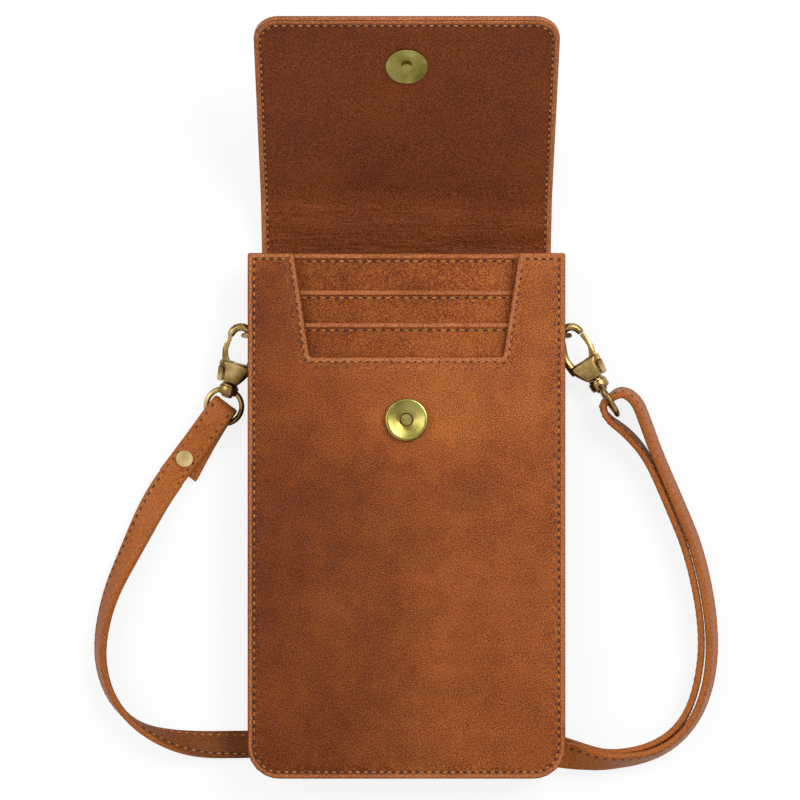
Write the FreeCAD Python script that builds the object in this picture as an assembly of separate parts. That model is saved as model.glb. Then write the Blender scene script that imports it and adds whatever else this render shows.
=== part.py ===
"""Leather phone pouch: folding flap, card pockets, magnetic snap and a strap on two swivel clasps.

Lengths are millimetres. The pouch lies on its back: +X is to its right, +Y runs towards the flap and +Z
comes out of its front. The origin is on the resting face of the back panel, midway along the body.
"""
import FreeCAD
import Part
import math
import os
from FreeCAD import Matrix, Vector

# Body of the pouch
body_width = 110.0
body_height = 182.0
body_depth = 18.0
corner_radius = 11.0
tight_radius = 2.0
panel_thickness = 1.6
lining_thickness = 0.7
gusset_thickness = 0.8
gusset_web = 1.0
gusset_inset = 8.0
lining_play = 0.3
overrun = 5.0

# The back lifts towards the bottom seam, where the strap passes under it
rise_height = 6.2
rise_flat_length = 21.0
rise_slope_length = 18.0

# Card pockets behind the cut-out in the front panel, from the innermost outwards
pocket_side_gap = 0.9
pocket_thickness = 1.1
pocket_gap = 0.1
pocket_step = 1.2
pocket_edge_radius = 0.85
pocket_edge_margin = 2.0
backing_drop = 75.0
upper_pocket_top = 12.8
upper_pocket_depth = 50.0
lower_pocket_top = 24.1
lower_pocket_depth = 50.0
cutout_top_side = 16.0
cutout_foot_side = 21.5
cutout_depth = 36.0
cutout_radius = 1.2
pocket_clearance = 0.9

# Magnetic snap
snap_drop = 57.7
snap_radius = 7.35
snap_height = 2.6
snap_rim_width = 0.95
snap_rim_bevel = 0.4
snap_dish_depth = 1.0
snap_wall = 0.65
snap_hole_radius = 2.4
snap_core_wall = 0.5
snap_floor = 0.5
magnet_height = 1.0
magnet_play = 0.1
snap_rivet_radius = 1.95
snap_rivet_top = 0.9
snap_washer_radius = 6.0
snap_washer_thickness = 0.6
snap_mate_gap = 0.3
stud_plate_radius = 7.0
stud_plate_height = 0.8
stud_nub_radius = 1.9
stud_nub_height = 1.1
stud_washer_thickness = 0.5
fit_play = 0.03

# Flap, in two stretches that turn on the creases at the back and front of the mouth
flap_side_step = 4.25
flap_length = 77.0
flap_corner_radius = 8.3
flap_leather = 1.6
flap_lining = 1.0
crease_reach = 1.0
crease_half_gap = 0.4
crease_rest_deg = 22.0
crease_roll_radius = 0.8
crease_roll_play = 0.05
crease_tongue = 2.0

# D-rings in tabs that lie in the gusset's groove
ring_drop = 28.4
ring_overhang = 2.0
ring_wire_radius = 0.9
ring_groove_gap = 0.9
ring_bar_inset = 5.7
ring_bar_corner = 1.6
tab_side_gap = 0.8
tab_leather = 1.2
tab_length = 18.0
tab_play = 0.06

# Swivel clasps. Along is measured from the collar's middle towards the hook, side towards the gate.
collar_radius = 3.4
collar_half_length = 1.75
collar_bevel = 0.5
eye_ring_radius = 6.25
eye_wire_radius = 0.95
wire_sides = 10
eye_ring_drop = 6.6
pin_radius = 1.2
pin_head_radius = 1.95
pin_head_height = 1.2
pin_head_gap = 0.1
pin_hold = 2.6
running_play = 0.05
base_start = 1.95
base_end = 9.8
base_foot_half = 3.2
base_gate_half = 4.3
base_half_thickness = 2.2
base_corner_radius = 0.6
base_bevel = 0.45
hook_centre = 18.9
hook_radius = 3.4
hook_wire_radius = 1.55
hook_tip_length = 0.9
hook_root_sink = 1.6
hook_seat_gap = 0.4
fork_half_gap = 1.05
fork_start = 5.0
fork_side = 0.6
gate_half_thickness = 0.95
gate_pivot_along = 7.9
gate_pivot_side = 3.0
gate_tip_gap = 0.3
gate_tip_width = 1.9
gate_hub_radius = 1.7
gate_lever_drop = 3.8
gate_lever_reach = 3.1
gate_lever_width = 1.2
gate_corner_radius = 0.4
gate_pin_radius = 0.6
spring_radius = 1.3
spring_length = 0.7
spring_play = 0.15

# How the two clasps lie: lean from +Y towards the pouch, slope up to the hook, turn of the eye ring
left_lean_deg = 15.6
left_slope_deg = 10.0
left_eye_turn_deg = 0.0
left_side_seat = 0.1
right_lean_deg = 32.0
right_slope_deg = 3.5
right_eye_turn_deg = 90.0
right_side_seat = -0.3

# Strap
strap_width = 9.6
strap_thickness = 2.3
strap_layer_gap = 0.2
arc_step_deg = 16.0
twist_step_deg = 12.0
run_share = 0.45
fold_clearance = 0.5
fold_bend_start = 9.0
fold_bend_end = 17.0
fold_tail_end = 28.6
fold_run_end = 32.4
fold_lead = Vector(-0.6, -0.8, 0)
rivet_along = 23.0
rivet_head_radius = 2.9
rivet_head_height = 1.0
rivet_shank_radius = 1.2
rivet_foot = 0.3
stud_inset = 5.0
stud_head_height = 0.5

# Strap routes: how far out from the body's edge, y, lift of the strap's underside, and roll in degrees about
# its own line. Roll 0 has the grain side up, 90 has it facing right of the way that the strap runs.
left_run = [
    (27.6, 12.7, 2.4, 0.0),
    (33.6, 4.7, 1.7, 8.0),
    (43.0, -12.0, 0.3, 34.0),
    (50.3, -28.6, 0.0, 60.0),
    (52.3, -45.1, 0.0, 72.0),
    (50.6, -58.0, 0.0, 78.0),
    (45.8, -68.2, 0.0, 84.0),
    (37.5, -76.2, 0.0, 96.0),
    (22.0, -80.9, 0.0, 140.0),
    (4.0, -81.3, 0.0, 178.0),
]
under_run = [
    (-3.0, -79.8, 0.0, 180.0),
]
right_run = [
    (-19.0, -80.6, 0.0, 180.0),
    (-3.0, -82.4, 0.0, 180.0),
    (7.0, -84.0, 0.0, 184.0),
    (16.4, -84.7, 0.0, 203.0),
    (30.3, -81.6, 0.0, 230.0),
    (40.5, -74.2, 0.0, 245.0),
    (47.0, -61.4, 0.0, 247.0),
    (49.2, -41.9, 0.0, 247.0),
    (44.0, -15.5, 0.0, 248.0),
    (35.9, 4.2, 0.3, 252.0),
    (28.4, 20.2, 1.2, 262.0),
    (20.4, 28.4, 2.2, 268.0),
    (14.0, 33.9, 2.6, 270.0),
    (12.6, 38.5, 2.6, 270.0),
    (16.2, 40.8, 2.6, 270.0),
]
return_run = [
    (16.2, 40.8, 2.6, 270.0),
    (20.52, 43.56, 2.6, 270.0),
    (26.2, 40.4, 2.4, 271.0),
    (29.4, 33.0, 1.9, 274.0),
    (33.2, 21.8, 1.2, 280.0),
    (39.8, 5.8, 0.3, 288.0),
    (48.0, -14.3, 0.0, 292.0),
    (53.3, -41.9, 0.0, 293.0),
    (51.1, -62.6, 0.1, 293.0),
    (43.7, -77.2, 0.2, 295.0),
    (31.5, -85.4, 0.9, 312.0),
    (16.0, -87.6, 2.5, 338.0),
    (7.0, -86.2, 2.7, 354.0),
    (-2.0, -84.0, 2.5, 360.0),
    (-17.0, -82.3, 2.5, 360.0),
]

# Worked-out places
body_top = body_height / 2
body_bottom = -body_height / 2
half_width = body_width / 2
pocket_width = body_width - 2 * (gusset_inset + gusset_web + lining_play + pocket_side_gap)
cutout_top_width = body_width - 2 * cutout_top_side
cutout_foot_width = body_width - 2 * cutout_foot_side
flap_width = body_width - 2 * flap_side_step
ring_reach = half_width + ring_overhang
ring_width = body_depth - 2 * (panel_thickness + gusset_thickness + ring_groove_gap + ring_wire_radius)
tab_width = ring_width - 2 * (ring_wire_radius + tab_side_gap)
front_under = body_depth - panel_thickness
mid_depth = body_depth / 2
flap_thickness = flap_leather + flap_lining
crease_y = body_top + crease_reach
crease_z = panel_thickness + flap_lining
fold_length = body_depth + snap_height + snap_mate_gap + stud_plate_height - crease_z
snap_y = body_top - snap_drop
stud_along = crease_y - snap_y
ring_y = body_top - ring_drop
ring_bar_x = half_width - ring_bar_inset
seat_along = hook_centre + hook_radius - hook_wire_radius - ring_wire_radius - hook_seat_gap
straight_angle = math.radians(89)
strap_route = [(-half_width - out, y, lift, roll) for out, y, lift, roll in left_run]
strap_route += under_run
strap_route += [(half_width + out, y, lift, roll) for out, y, lift, roll in right_run]
return_route = [(half_width + out, y, lift, roll) for out, y, lift, roll in return_run]
UP = Vector(0, 0, 1)
ALONG_X = Vector(1, 0, 0)
ALONG_Y = Vector(0, 1, 0)


def line(a, b):
    return Part.LineSegment(a, b).toShape()


def arc(a, middle, b):
    return Part.Arc(a, middle, b).toShape()


def box(x0, x1, y0, y1, z0, z1):
    return Part.makeBox(x1 - x0, y1 - y0, z1 - z0, Vector(x0, y0, z0))


def rod(radius, foot, top):
    """Cylinder between two points."""
    way = top - foot
    return Part.makeCylinder(radius, way.Length, foot, way)


def wire_section(radius, centre, across, up):
    """Section of a drawn wire: a regular polygon whose corners lie on the wire's circle."""
    steps = [math.radians(360) * k / wire_sides for k in range(wire_sides)]
    corners = [centre + across * (radius * math.cos(a)) + up * (radius * math.sin(a)) for a in steps]
    return Part.makePolygon(corners + corners[:1])


def rounded_wire(corners):
    """Closed wire at z 0 through corners given as x, y and radius, with tangent arcs."""
    edges = []
    cuts = []
    for i, (x, y, radius) in enumerate(corners):
        here = Vector(x, y, 0)
        before = Vector(corners[i - 1][0], corners[i - 1][1], 0) - here
        after_corner = corners[(i + 1) % len(corners)]
        after = Vector(after_corner[0], after_corner[1], 0) - here
        before.normalize()
        after.normalize()
        half = before.getAngle(after) / 2
        if radius == 0 or half > straight_angle:
            cuts.append((here, here, here, 0))
            continue
        reach = radius / math.tan(half)
        bisector = before + after
        bisector.normalize()
        middle = here + bisector * (radius / math.sin(half) - radius)
        cuts.append((here + before * reach, middle, here + after * reach, radius))
    for i, (start, middle, end, radius) in enumerate(cuts):
        if radius > 0:
            edges.append(arc(start, middle, end))
        edges.append(line(end, cuts[(i + 1) % len(cuts)][0]))
    return Part.Wire(edges)


def slab(wire, z0, z1):
    """Upright prism on a wire drawn at z 0."""
    solid = Part.Face(wire).extrude(UP * (z1 - z0))
    solid.translate(UP * z0)
    return solid


def body_outline(inset, top):
    """Outline of the body seen from the front, drawn in by inset at the sides and the bottom."""
    half = half_width - inset
    low = body_bottom + inset
    radius = max(corner_radius - inset, tight_radius)
    return rounded_wire([(-half, top, 0), (-half, low, radius), (half, low, radius), (half, top, 0)])


def lifted_slab(low, high):
    """Plate that follows the back panel's lift, between two heights above its resting face."""
    far = body_top + overrun
    near = body_bottom - overrun
    lift_end = body_bottom + rise_flat_length
    lift_start = lift_end + rise_slope_length
    rise = [(far, 0), (lift_start, 0), (lift_end, rise_height), (near, rise_height)]
    side = -half_width - overrun
    lower = [Vector(side, y, z + low) for y, z in rise]
    upper = [Vector(side, y, z + high) for y, z in reversed(rise)]
    profile = Part.Face(Part.makePolygon(lower + upper + lower[:1]))
    return profile.extrude(ALONG_X * (body_width + 2 * overrun))


def back_panel():
    outline = slab(body_outline(0, crease_y - crease_half_gap), -overrun, body_depth)
    return lifted_slab(0, panel_thickness).common(outline)


def gusset():
    """Folded-in channel round both sides and the bottom, with a flange sewn to each panel."""
    outer = slab(body_outline(0, body_top), 0, body_depth)
    groove = slab(body_outline(gusset_inset, body_top), 0, body_depth)
    inside = slab(body_outline(gusset_inset + gusset_web, body_top + overrun), -overrun, body_depth + overrun)
    top_limit = front_under
    web = groove.cut(inside).common(box(-body_width, body_width, body_bottom, body_top, 0, top_limit))
    web = web.cut(lifted_slab(-body_depth, panel_thickness))
    ring = outer.cut(inside)
    front_flange = ring.common(
        box(-body_width, body_width, body_bottom, body_top, top_limit - gusset_thickness, top_limit)
    )
    back_flange = ring.common(lifted_slab(panel_thickness, panel_thickness + gusset_thickness))
    return web.fuse([front_flange, back_flange]).removeSplitter()


def inner_outline():
    return body_outline(gusset_inset + gusset_web + lining_play, body_top)


def back_lining():
    """Lining of the back, with a tongue that ends in the crease's ridge."""
    outline = slab(inner_outline(), -overrun, body_depth)
    lining = lifted_slab(panel_thickness, panel_thickness + lining_thickness).common(outline)
    half = pocket_width / 2
    top = panel_thickness + lining_thickness
    tongue = box(-half, half, body_top - crease_tongue, crease_y, panel_thickness, top)
    roll = crease_roll(crease_roll_radius, half)
    roll.translate(Vector(0, crease_y, crease_z))
    return lining.fuse([tongue, roll]).removeSplitter()


def crease_roll(radius, half):
    """Rounded ridge of leather along a crease, which the next stretch turns round."""
    return rod(radius, Vector(-half, 0, 0), Vector(half, 0, 0))


def cutout():
    """Trapezoid opening at the top of the front panel."""
    foot = body_top - cutout_depth
    spread = (cutout_top_width - cutout_foot_width) / 2 / cutout_depth
    high = body_top + overrun
    half_high = cutout_top_width / 2 + spread * overrun
    half_foot = cutout_foot_width / 2
    wire = rounded_wire(
        [
            (-half_high, high, 0),
            (-half_foot, foot, cutout_radius),
            (half_foot, foot, cutout_radius),
            (half_high, high, 0),
        ]
    )
    return slab(wire, 0, body_depth + overrun)


def front_panel():
    panel = slab(body_outline(0, body_top), front_under, body_depth).cut(cutout())
    hole = rod(snap_rivet_radius + fit_play, Vector(0, snap_y, 0), Vector(0, snap_y, body_depth + overrun))
    return panel.cut(hole)


def pocket_level(tier):
    """Underside of a pocket layer: tier 0 is the backing, 2 the lower pocket in front of the others."""
    top_layer = front_under - pocket_clearance - pocket_thickness
    return top_layer - (2 - tier) * pocket_step


def pocket(tier, top_drop, depth):
    """Flat pocket layer with a rolled upper edge."""
    low = pocket_level(tier)
    high = low + pocket_thickness
    top = body_top - top_drop
    half = pocket_width / 2
    roll_y = top - pocket_edge_radius
    layer = box(-half, half, top - depth, roll_y, low, high)
    spread = (cutout_top_width - cutout_foot_width) / 2 / cutout_depth
    roll_half = cutout_top_width / 2 - spread * top_drop - pocket_edge_margin
    roll_z = high - pocket_edge_radius + pocket_gap
    edge = rod(pocket_edge_radius, Vector(-roll_half, roll_y, roll_z), Vector(roll_half, roll_y, roll_z))
    below = box(-body_width, body_width, body_bottom, body_top + overrun, 0, low)
    return layer.fuse(edge).cut(below).removeSplitter()


def front_lining():
    high = pocket_level(0) - pocket_gap
    return slab(inner_outline(), high - lining_thickness, high)


def revolve(profile, centre):
    """Solid of revolution about an upright line, from radius and height pairs."""
    points = [Vector(radius, 0, height) for radius, height in profile]
    face = Part.Face(Part.makePolygon(points + points[:1]))
    solid = face.revolve(Vector(0, 0, 0), UP, 360)
    solid.translate(centre)
    return solid


def snap_socket_cap():
    """Dished cap of the magnet half, hollow below for the magnet."""
    cavity_in = snap_hole_radius + snap_core_wall
    cavity_out = snap_radius - snap_wall
    cavity_top = magnet_height + magnet_play
    rim = snap_radius - snap_rim_width
    profile = [
        (snap_hole_radius, 0),
        (cavity_in, 0),
        (cavity_in, cavity_top),
        (cavity_out, cavity_top),
        (cavity_out, 0),
        (snap_radius, 0),
        (snap_radius, snap_height - snap_rim_bevel),
        (snap_radius - snap_rim_bevel, snap_height),
        (rim, snap_height),
        (snap_hole_radius, snap_height - snap_dish_depth),
    ]
    return revolve(profile, Vector(0, snap_y, body_depth))


def snap_magnet():
    inner = snap_hole_radius + snap_core_wall + magnet_play
    outer = snap_radius - snap_wall - magnet_play
    profile = [(inner, 0), (outer, 0), (outer, magnet_height), (inner, magnet_height)]
    return revolve(profile, Vector(0, snap_y, body_depth))


def snap_socket_rivet():
    foot = front_under - snap_washer_thickness
    return rod(snap_rivet_radius, Vector(0, snap_y, foot), Vector(0, snap_y, body_depth + snap_rivet_top))


def snap_socket_washer():
    foot = Vector(0, snap_y, front_under - snap_washer_thickness)
    disc = rod(snap_washer_radius, foot, Vector(0, snap_y, front_under))
    return disc.cut(rod(snap_rivet_radius + fit_play, foot, Vector(0, snap_y, body_depth)))


def place_fold(shape):
    """Sets a stretch drawn flat along +Y from the back crease into its raised place."""
    shape.rotate(Vector(0, 0, 0), ALONG_X, crease_rest_deg)
    shape.translate(Vector(0, crease_y, crease_z))
    return shape


def place_flap(shape):
    """Sets a piece drawn flat along +Y from the front crease into its raised place."""
    shape.rotate(Vector(0, 0, 0), ALONG_X, crease_rest_deg)
    shape.translate(Vector(0, fold_length, 0))
    return place_fold(shape)


def fold_layer(low, high):
    half = flap_width / 2
    return box(-half, half, crease_half_gap, fold_length - crease_half_gap, low, high)


def fold_lining_piece():
    half = flap_width / 2
    ridge = crease_roll(crease_roll_radius, half)
    ridge.translate(Vector(0, fold_length, 0))
    lining = fold_layer(-flap_lining, 0).fuse(ridge).removeSplitter()
    return place_fold(lining.cut(crease_roll(crease_roll_radius + crease_roll_play, half)))


def flap_layer(low, high):
    half = flap_width / 2
    outline = rounded_wire(
        [
            (-half, crease_half_gap, 0),
            (half, crease_half_gap, 0),
            (half, flap_length, flap_corner_radius),
            (-half, flap_length, flap_corner_radius),
        ]
    )
    return slab(outline, low, high)


def stud_column(radius, low, high):
    return rod(radius, Vector(0, stud_along, low), Vector(0, stud_along, high))


def flap_lining_piece():
    lining = flap_layer(-flap_lining, 0).cut(crease_roll(crease_roll_radius + crease_roll_play, flap_width / 2))
    recess = stud_column(snap_washer_radius + fit_play, -flap_lining, stud_washer_thickness - flap_lining)
    bore = stud_column(stud_nub_radius + fit_play, -flap_lining, overrun)
    return place_flap(lining.cut(recess).cut(bore))


def snap_stud_plate():
    """Striking plate on the flap with its nub, and the post that holds it to the washer."""
    plate = stud_column(stud_plate_radius, 0, stud_plate_height)
    nub = stud_column(stud_nub_radius, -flap_lining, stud_plate_height + stud_nub_height)
    return place_flap(plate.fuse(nub).removeSplitter())


def snap_stud_washer():
    disc = stud_column(snap_washer_radius, -flap_lining, stud_washer_thickness - flap_lining)
    return place_flap(disc.cut(stud_column(stud_nub_radius + fit_play, -flap_lining, overrun)))


def d_ring(side):
    """D-ring of round wire that stands out of the groove, its bar upright in the tab."""
    half = ring_width / 2
    bow = ring_reach - half
    corner = ring_bar_corner
    slant = corner * (1 - math.sqrt(0.5))

    def at(x, z):
        return Vector(side * x, ring_y, mid_depth + z)

    path = Part.Wire(
        [
            line(at(ring_bar_x, corner - half), at(ring_bar_x, half - corner)),
            arc(at(ring_bar_x, half - corner), at(ring_bar_x + slant, half - slant), at(ring_bar_x + corner, half)),
            line(at(ring_bar_x + corner, half), at(bow, half)),
            arc(at(bow, half), at(bow + half, 0), at(bow, -half)),
            line(at(bow, -half), at(ring_bar_x + corner, -half)),
            arc(at(ring_bar_x + corner, -half), at(ring_bar_x + slant, slant - half), at(ring_bar_x, corner - half)),
        ]
    )
    section = wire_section(ring_wire_radius, at(ring_bar_x, corner - half), ALONG_X, ALONG_Y)
    return path.makePipeShell([section], True, True)


def d_ring_tab(side):
    """Leather tab on the gusset's web, folded round the D-ring's bar."""
    bore = ring_wire_radius + tab_play
    outer = bore + tab_leather
    low = mid_depth - tab_width / 2
    high = mid_depth + tab_width / 2
    centre = Vector(side * ring_bar_x, ring_y, 0)
    loop = rod(outer, centre + UP * low, centre + UP * high)
    web_face = half_width - gusset_inset
    tail_in = side * web_face
    tail_out = side * (web_face + 2 * tab_leather)
    tail = box(min(tail_in, tail_out), max(tail_in, tail_out), ring_y - tab_length, ring_y, low, high)
    wall = box(-web_face, web_face, body_bottom, body_top, 0, body_depth)
    tab = loop.fuse(tail).cut(rod(bore, centre, centre + UP * body_depth)).cut(wall)
    return tab.removeSplitter()


def clasp_frame(side, lean_deg, slope_deg, side_seat):
    """Axes of a clasp and its collar's middle: along to the hook, side to the gate, and the third."""
    lean = math.radians(lean_deg)
    slope = math.radians(slope_deg)
    heading = Vector(-side * math.sin(lean), math.cos(lean), 0)
    along = heading * math.cos(slope) + UP * math.sin(slope)
    gate_side = Vector(side * math.cos(lean), math.sin(lean), 0)
    third = along.cross(gate_side)
    seat = Vector(side * ring_reach, ring_y, mid_depth)
    origin = seat - along * seat_along + gate_side * side_seat
    return origin, along, gate_side, third


def set_in_frame(shape, frame):
    origin, along, gate_side, third = frame
    matrix = Matrix(
        along.x, gate_side.x, third.x, origin.x,
        along.y, gate_side.y, third.y, origin.y,
        along.z, gate_side.z, third.z, origin.z,
        0, 0, 0, 1,
    )
    shape.transformShape(matrix, True)
    return shape


def clasp_body():
    """Cast body: tapered base with a fork for the gate, and a round hook that bends over to the gate."""
    base = slab(
        rounded_wire(
            [
                (base_start, -base_foot_half, base_corner_radius),
                (base_end, -hook_radius - hook_wire_radius, base_corner_radius),
                (base_end, base_gate_half, base_corner_radius),
                (base_start, base_foot_half, base_corner_radius),
            ]
        ),
        -base_half_thickness,
        base_half_thickness,
    )
    rims = [edge for edge in base.Edges if abs(abs(edge.CenterOfMass.z) - base_half_thickness) < fit_play]
    base = base.makeChamfer(base_bevel, rims)
    root = Vector(base_end - hook_root_sink, -hook_radius, 0)
    bend_start = Vector(hook_centre, -hook_radius, 0)
    bend_top = Vector(hook_centre + hook_radius, 0, 0)
    bend_end = Vector(hook_centre, hook_radius, 0)
    tip = Vector(hook_centre - hook_tip_length, hook_radius, 0)
    path = Part.Wire([line(root, bend_start), arc(bend_start, bend_top, bend_end), line(bend_end, tip)])
    section = wire_section(hook_wire_radius, root, ALONG_Y, UP)
    hook = path.makePipeShell([section], True, True)
    fork = box(fork_start, base_end + overrun, fork_side, base_gate_half + overrun, -fork_half_gap, fork_half_gap)
    fork_limit = box(base_start, base_end, -body_width, body_width, -body_depth, body_depth)
    body = base.fuse(hook).removeSplitter().cut(fork.common(fork_limit))
    body = body.cut(gate_axis(gate_pin_radius + fit_play, base_half_thickness + overrun))
    return body.cut(rod(pin_radius + fit_play, Vector(0, 0, 0), Vector(base_start + pin_hold, 0, 0)))


def gate_axis(radius, half_length):
    foot = Vector(gate_pivot_along, gate_pivot_side, -half_length)
    return rod(radius, foot, Vector(gate_pivot_along, gate_pivot_side, half_length))


def clasp_gate():
    """Flat gate from its hub up to the hook's tip, with a thumb lever that stands out below."""
    tip_along = hook_centre - hook_tip_length - gate_tip_gap
    inner = hook_radius - gate_tip_width / 2
    outer = hook_radius + gate_tip_width / 2
    lever_along = gate_pivot_along - gate_lever_drop
    lever_side = gate_pivot_side + gate_lever_reach
    outline = rounded_wire(
        [
            (tip_along, inner, gate_corner_radius),
            (tip_along, outer, gate_corner_radius),
            (gate_pivot_along + gate_hub_radius, gate_pivot_side + gate_hub_radius, gate_corner_radius),
            (lever_along + gate_lever_width / 2, lever_side + gate_lever_width / 2, gate_corner_radius),
            (lever_along - gate_lever_width / 2, lever_side - gate_lever_width / 2, gate_corner_radius),
            (gate_pivot_along - gate_hub_radius, gate_pivot_side, gate_corner_radius),
            (gate_pivot_along, gate_pivot_side - gate_hub_radius, gate_corner_radius),
        ]
    )
    gate = slab(outline, -gate_half_thickness, gate_half_thickness)
    gate = gate.cut(gate_axis(gate_pin_radius + running_play, base_half_thickness))
    seat_floor = gate_half_thickness - spring_length - running_play
    spring_seat = rod(
        spring_radius + spring_play,
        Vector(gate_pivot_along, gate_pivot_side, seat_floor),
        Vector(gate_pivot_along, gate_pivot_side, base_half_thickness),
    )
    return gate.cut(spring_seat)


def gate_spring():
    low = gate_half_thickness - spring_length
    foot = Vector(gate_pivot_along, gate_pivot_side, low)
    coil = rod(spring_radius, foot, foot + UP * spring_length)
    return coil.cut(gate_axis(gate_pin_radius + running_play, base_half_thickness))


def swivel_pin():
    neck = -collar_half_length - pin_head_gap
    shank = rod(pin_radius, Vector(neck, 0, 0), Vector(base_start + pin_hold, 0, 0))
    head = rod(pin_head_radius, Vector(neck - pin_head_height, 0, 0), Vector(neck, 0, 0))
    return shank.fuse(head).removeSplitter()


def swivel_eye(turn_deg):
    """Collar that turns on the swivel pin, with the ring that takes the strap."""
    start = Vector(-collar_half_length, 0, 0)
    end = Vector(collar_half_length, 0, 0)
    collar = rod(collar_radius, start, end)
    rims = [edge for edge in collar.Edges if edge.Closed and edge.Curve.TypeId == "Part::GeomCircle"]
    collar = collar.makeChamfer(collar_bevel, rims)
    section = wire_section(eye_wire_radius, Vector(eye_ring_radius - eye_ring_drop, 0, 0), ALONG_X, UP)
    ring = Part.Face(section).revolve(Vector(-eye_ring_drop, 0, 0), UP, 360)
    ring.rotate(Vector(0, 0, 0), ALONG_X, turn_deg)
    return collar.fuse(ring).cut(rod(pin_radius + running_play, start, end)).removeSplitter()


def route_stations(route):
    """Places, headings and rolls along a route of straight runs joined by tangent arcs."""
    points = [Vector(x, y, 0) for x, y, lift, roll in route]
    values = [(lift, roll) for x, y, lift, roll in route]
    stations = []
    radii = []

    def mixed(i, j, share):
        return [a + (b - a) * share for a, b in zip(values[i], values[j])]

    def add(place, heading, value):
        stations.append((place, heading, value[0], value[1]))

    first = points[1] - points[0]
    first.normalize()
    add(points[0], first, values[0])
    for i in range(1, len(points) - 1):
        before = points[i] - points[i - 1]
        after = points[i + 1] - points[i]
        reach = run_share * min(before.Length, after.Length)
        start_value = mixed(i, i - 1, reach / before.Length)
        end_value = mixed(i, i + 1, reach / after.Length)
        turn = before.getAngle(after)
        side = 1 if before.cross(after).z > 0 else -1
        before.normalize()
        after.normalize()
        radius = reach / math.tan(turn / 2)
        radii.append(radius)
        start = points[i] - before * reach
        centre = start + UP.cross(before) * (side * radius)
        count = max(2, math.ceil(math.degrees(turn) / arc_step_deg))
        for k in range(count + 1):
            angle = side * turn * k / count
            spin = FreeCAD.Rotation(UP, math.degrees(angle))
            value = [a + (b - a) * k / count for a, b in zip(start_value, end_value)]
            add(centre + spin.multVec(start - centre), spin.multVec(before), value)
    last = points[-1] - points[-2]
    last.normalize()
    add(points[-1], last, values[-1])
    return stations, radii


def split_twists(stations):
    """Adds places between stations whose roll differs by more than a step."""
    out = [stations[0]]
    for before, after in zip(stations, stations[1:]):
        count = max(1, math.ceil(abs(after[3] - before[3]) / twist_step_deg))
        for k in range(1, count + 1):
            share = k / count
            out.append(tuple(a + (b - a) * share for a, b in zip(before, after)))
    return out


def strap_run(name, route):
    """Flat strap lofted through its cross-sections, lying on the floor with the roll that it has."""
    stations, radii = route_stations(route)
    wires = []
    length = 0
    before = None
    for place, heading, lift, roll_deg in split_twists(stations):
        roll = math.radians(roll_deg)
        right = heading.cross(UP)
        right.normalize()
        across = (right * math.cos(roll) - UP * math.sin(roll)) * (strap_width / 2)
        grain = (UP * math.cos(roll) + right * math.sin(roll)) * (strap_thickness / 2)
        middle = place + UP * (lift + abs(across.z) + abs(grain.z))
        corners = [middle - across - grain, middle + across - grain, middle + across + grain, middle - across + grain]
        wires.append(Part.makePolygon(corners + corners[:1]))
        if before is not None:
            length += (middle - before).Length
        before = middle
    solid = Part.makeLoft(wires, True, True)
    share = solid.Volume / (length * strap_width * strap_thickness)
    print(name, "length", round(length, 1), "volume share", round(share, 3), "radii", [round(r) for r in radii])
    return solid


def fold_frame():
    """Middle of the left eye ring on the floor, and the way that the folded strap end leaves it."""
    origin, along, gate_side, third = clasp_frame(-1, left_lean_deg, left_slope_deg, left_side_seat)
    centre = origin - along * eye_ring_drop
    return Vector(centre.x, centre.y, 0)


def strap_end_fold():
    """Strap end folded round the left eye ring: the tail below, the run above it."""
    thick = strap_thickness
    gap = 2 * eye_wire_radius + 2 * fold_clearance
    upper = thick + gap
    turn = thick + gap / 2
    rest = thick + strap_layer_gap / 2
    points = [
        (fold_tail_end, 0),
        (turn, 0),
        (turn, upper + thick),
        (fold_bend_start, upper + thick),
        (fold_bend_end, rest + thick),
        (fold_run_end, rest + thick),
        (fold_run_end, rest),
        (fold_bend_end, rest),
        (fold_bend_start, upper),
        (turn, upper),
        (turn, thick),
        (fold_tail_end, thick),
    ]
    at = [Vector(along, -strap_width / 2, z) for along, z in points]
    outer_mid = Vector(0, -strap_width / 2, turn)
    inner_mid = Vector(thick, -strap_width / 2, turn)
    edges = [line(at[0], at[1]), arc(at[1], outer_mid, at[2])]
    edges += [line(at[i], at[i + 1]) for i in range(2, 9)]
    edges += [arc(at[9], inner_mid, at[10]), line(at[10], at[11]), line(at[11], at[0])]
    fold = Part.Face(Part.Wire(edges)).extrude(Vector(0, strap_width, 0))
    fold.translate(Vector(-thick / 2, 0, 0))
    fold = fold.cut(rod(rivet_shank_radius + fit_play, Vector(rivet_along, 0, 0), Vector(rivet_along, 0, body_depth)))
    return lay_along_fold(fold)


def lay_along_fold(shape):
    shape.rotate(Vector(0, 0, 0), UP, math.degrees(math.atan2(fold_lead.y, fold_lead.x)))
    shape.translate(fold_frame())
    return shape


def strap_rivet():
    """Rivet that closes the fold, with a flat head on the run."""
    top = 2 * strap_thickness + strap_layer_gap / 2
    shank = rod(rivet_shank_radius, Vector(rivet_along, 0, rivet_foot), Vector(rivet_along, 0, top))
    head = rod(rivet_head_radius, Vector(rivet_along, 0, top), Vector(rivet_along, 0, top + rivet_head_height))
    return lay_along_fold(shank.fuse(head).removeSplitter())


def stud_place():
    end = Vector(return_route[-1][0], return_route[-1][1], 0)
    way = Vector(return_route[-2][0], return_route[-2][1], 0) - end
    way.normalize()
    return end + way * stud_inset


def stud_shank(radius, low, high):
    return rod(radius, stud_place() + UP * low, stud_place() + UP * high)


def strap_stud():
    """Flat stud that holds the doubled strap's end down on the run below it."""
    top = 2 * strap_thickness + strap_layer_gap
    head = stud_shank(rivet_head_radius, top, top + stud_head_height)
    return stud_shank(rivet_shank_radius, rivet_foot, top).fuse(head).removeSplitter()


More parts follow.
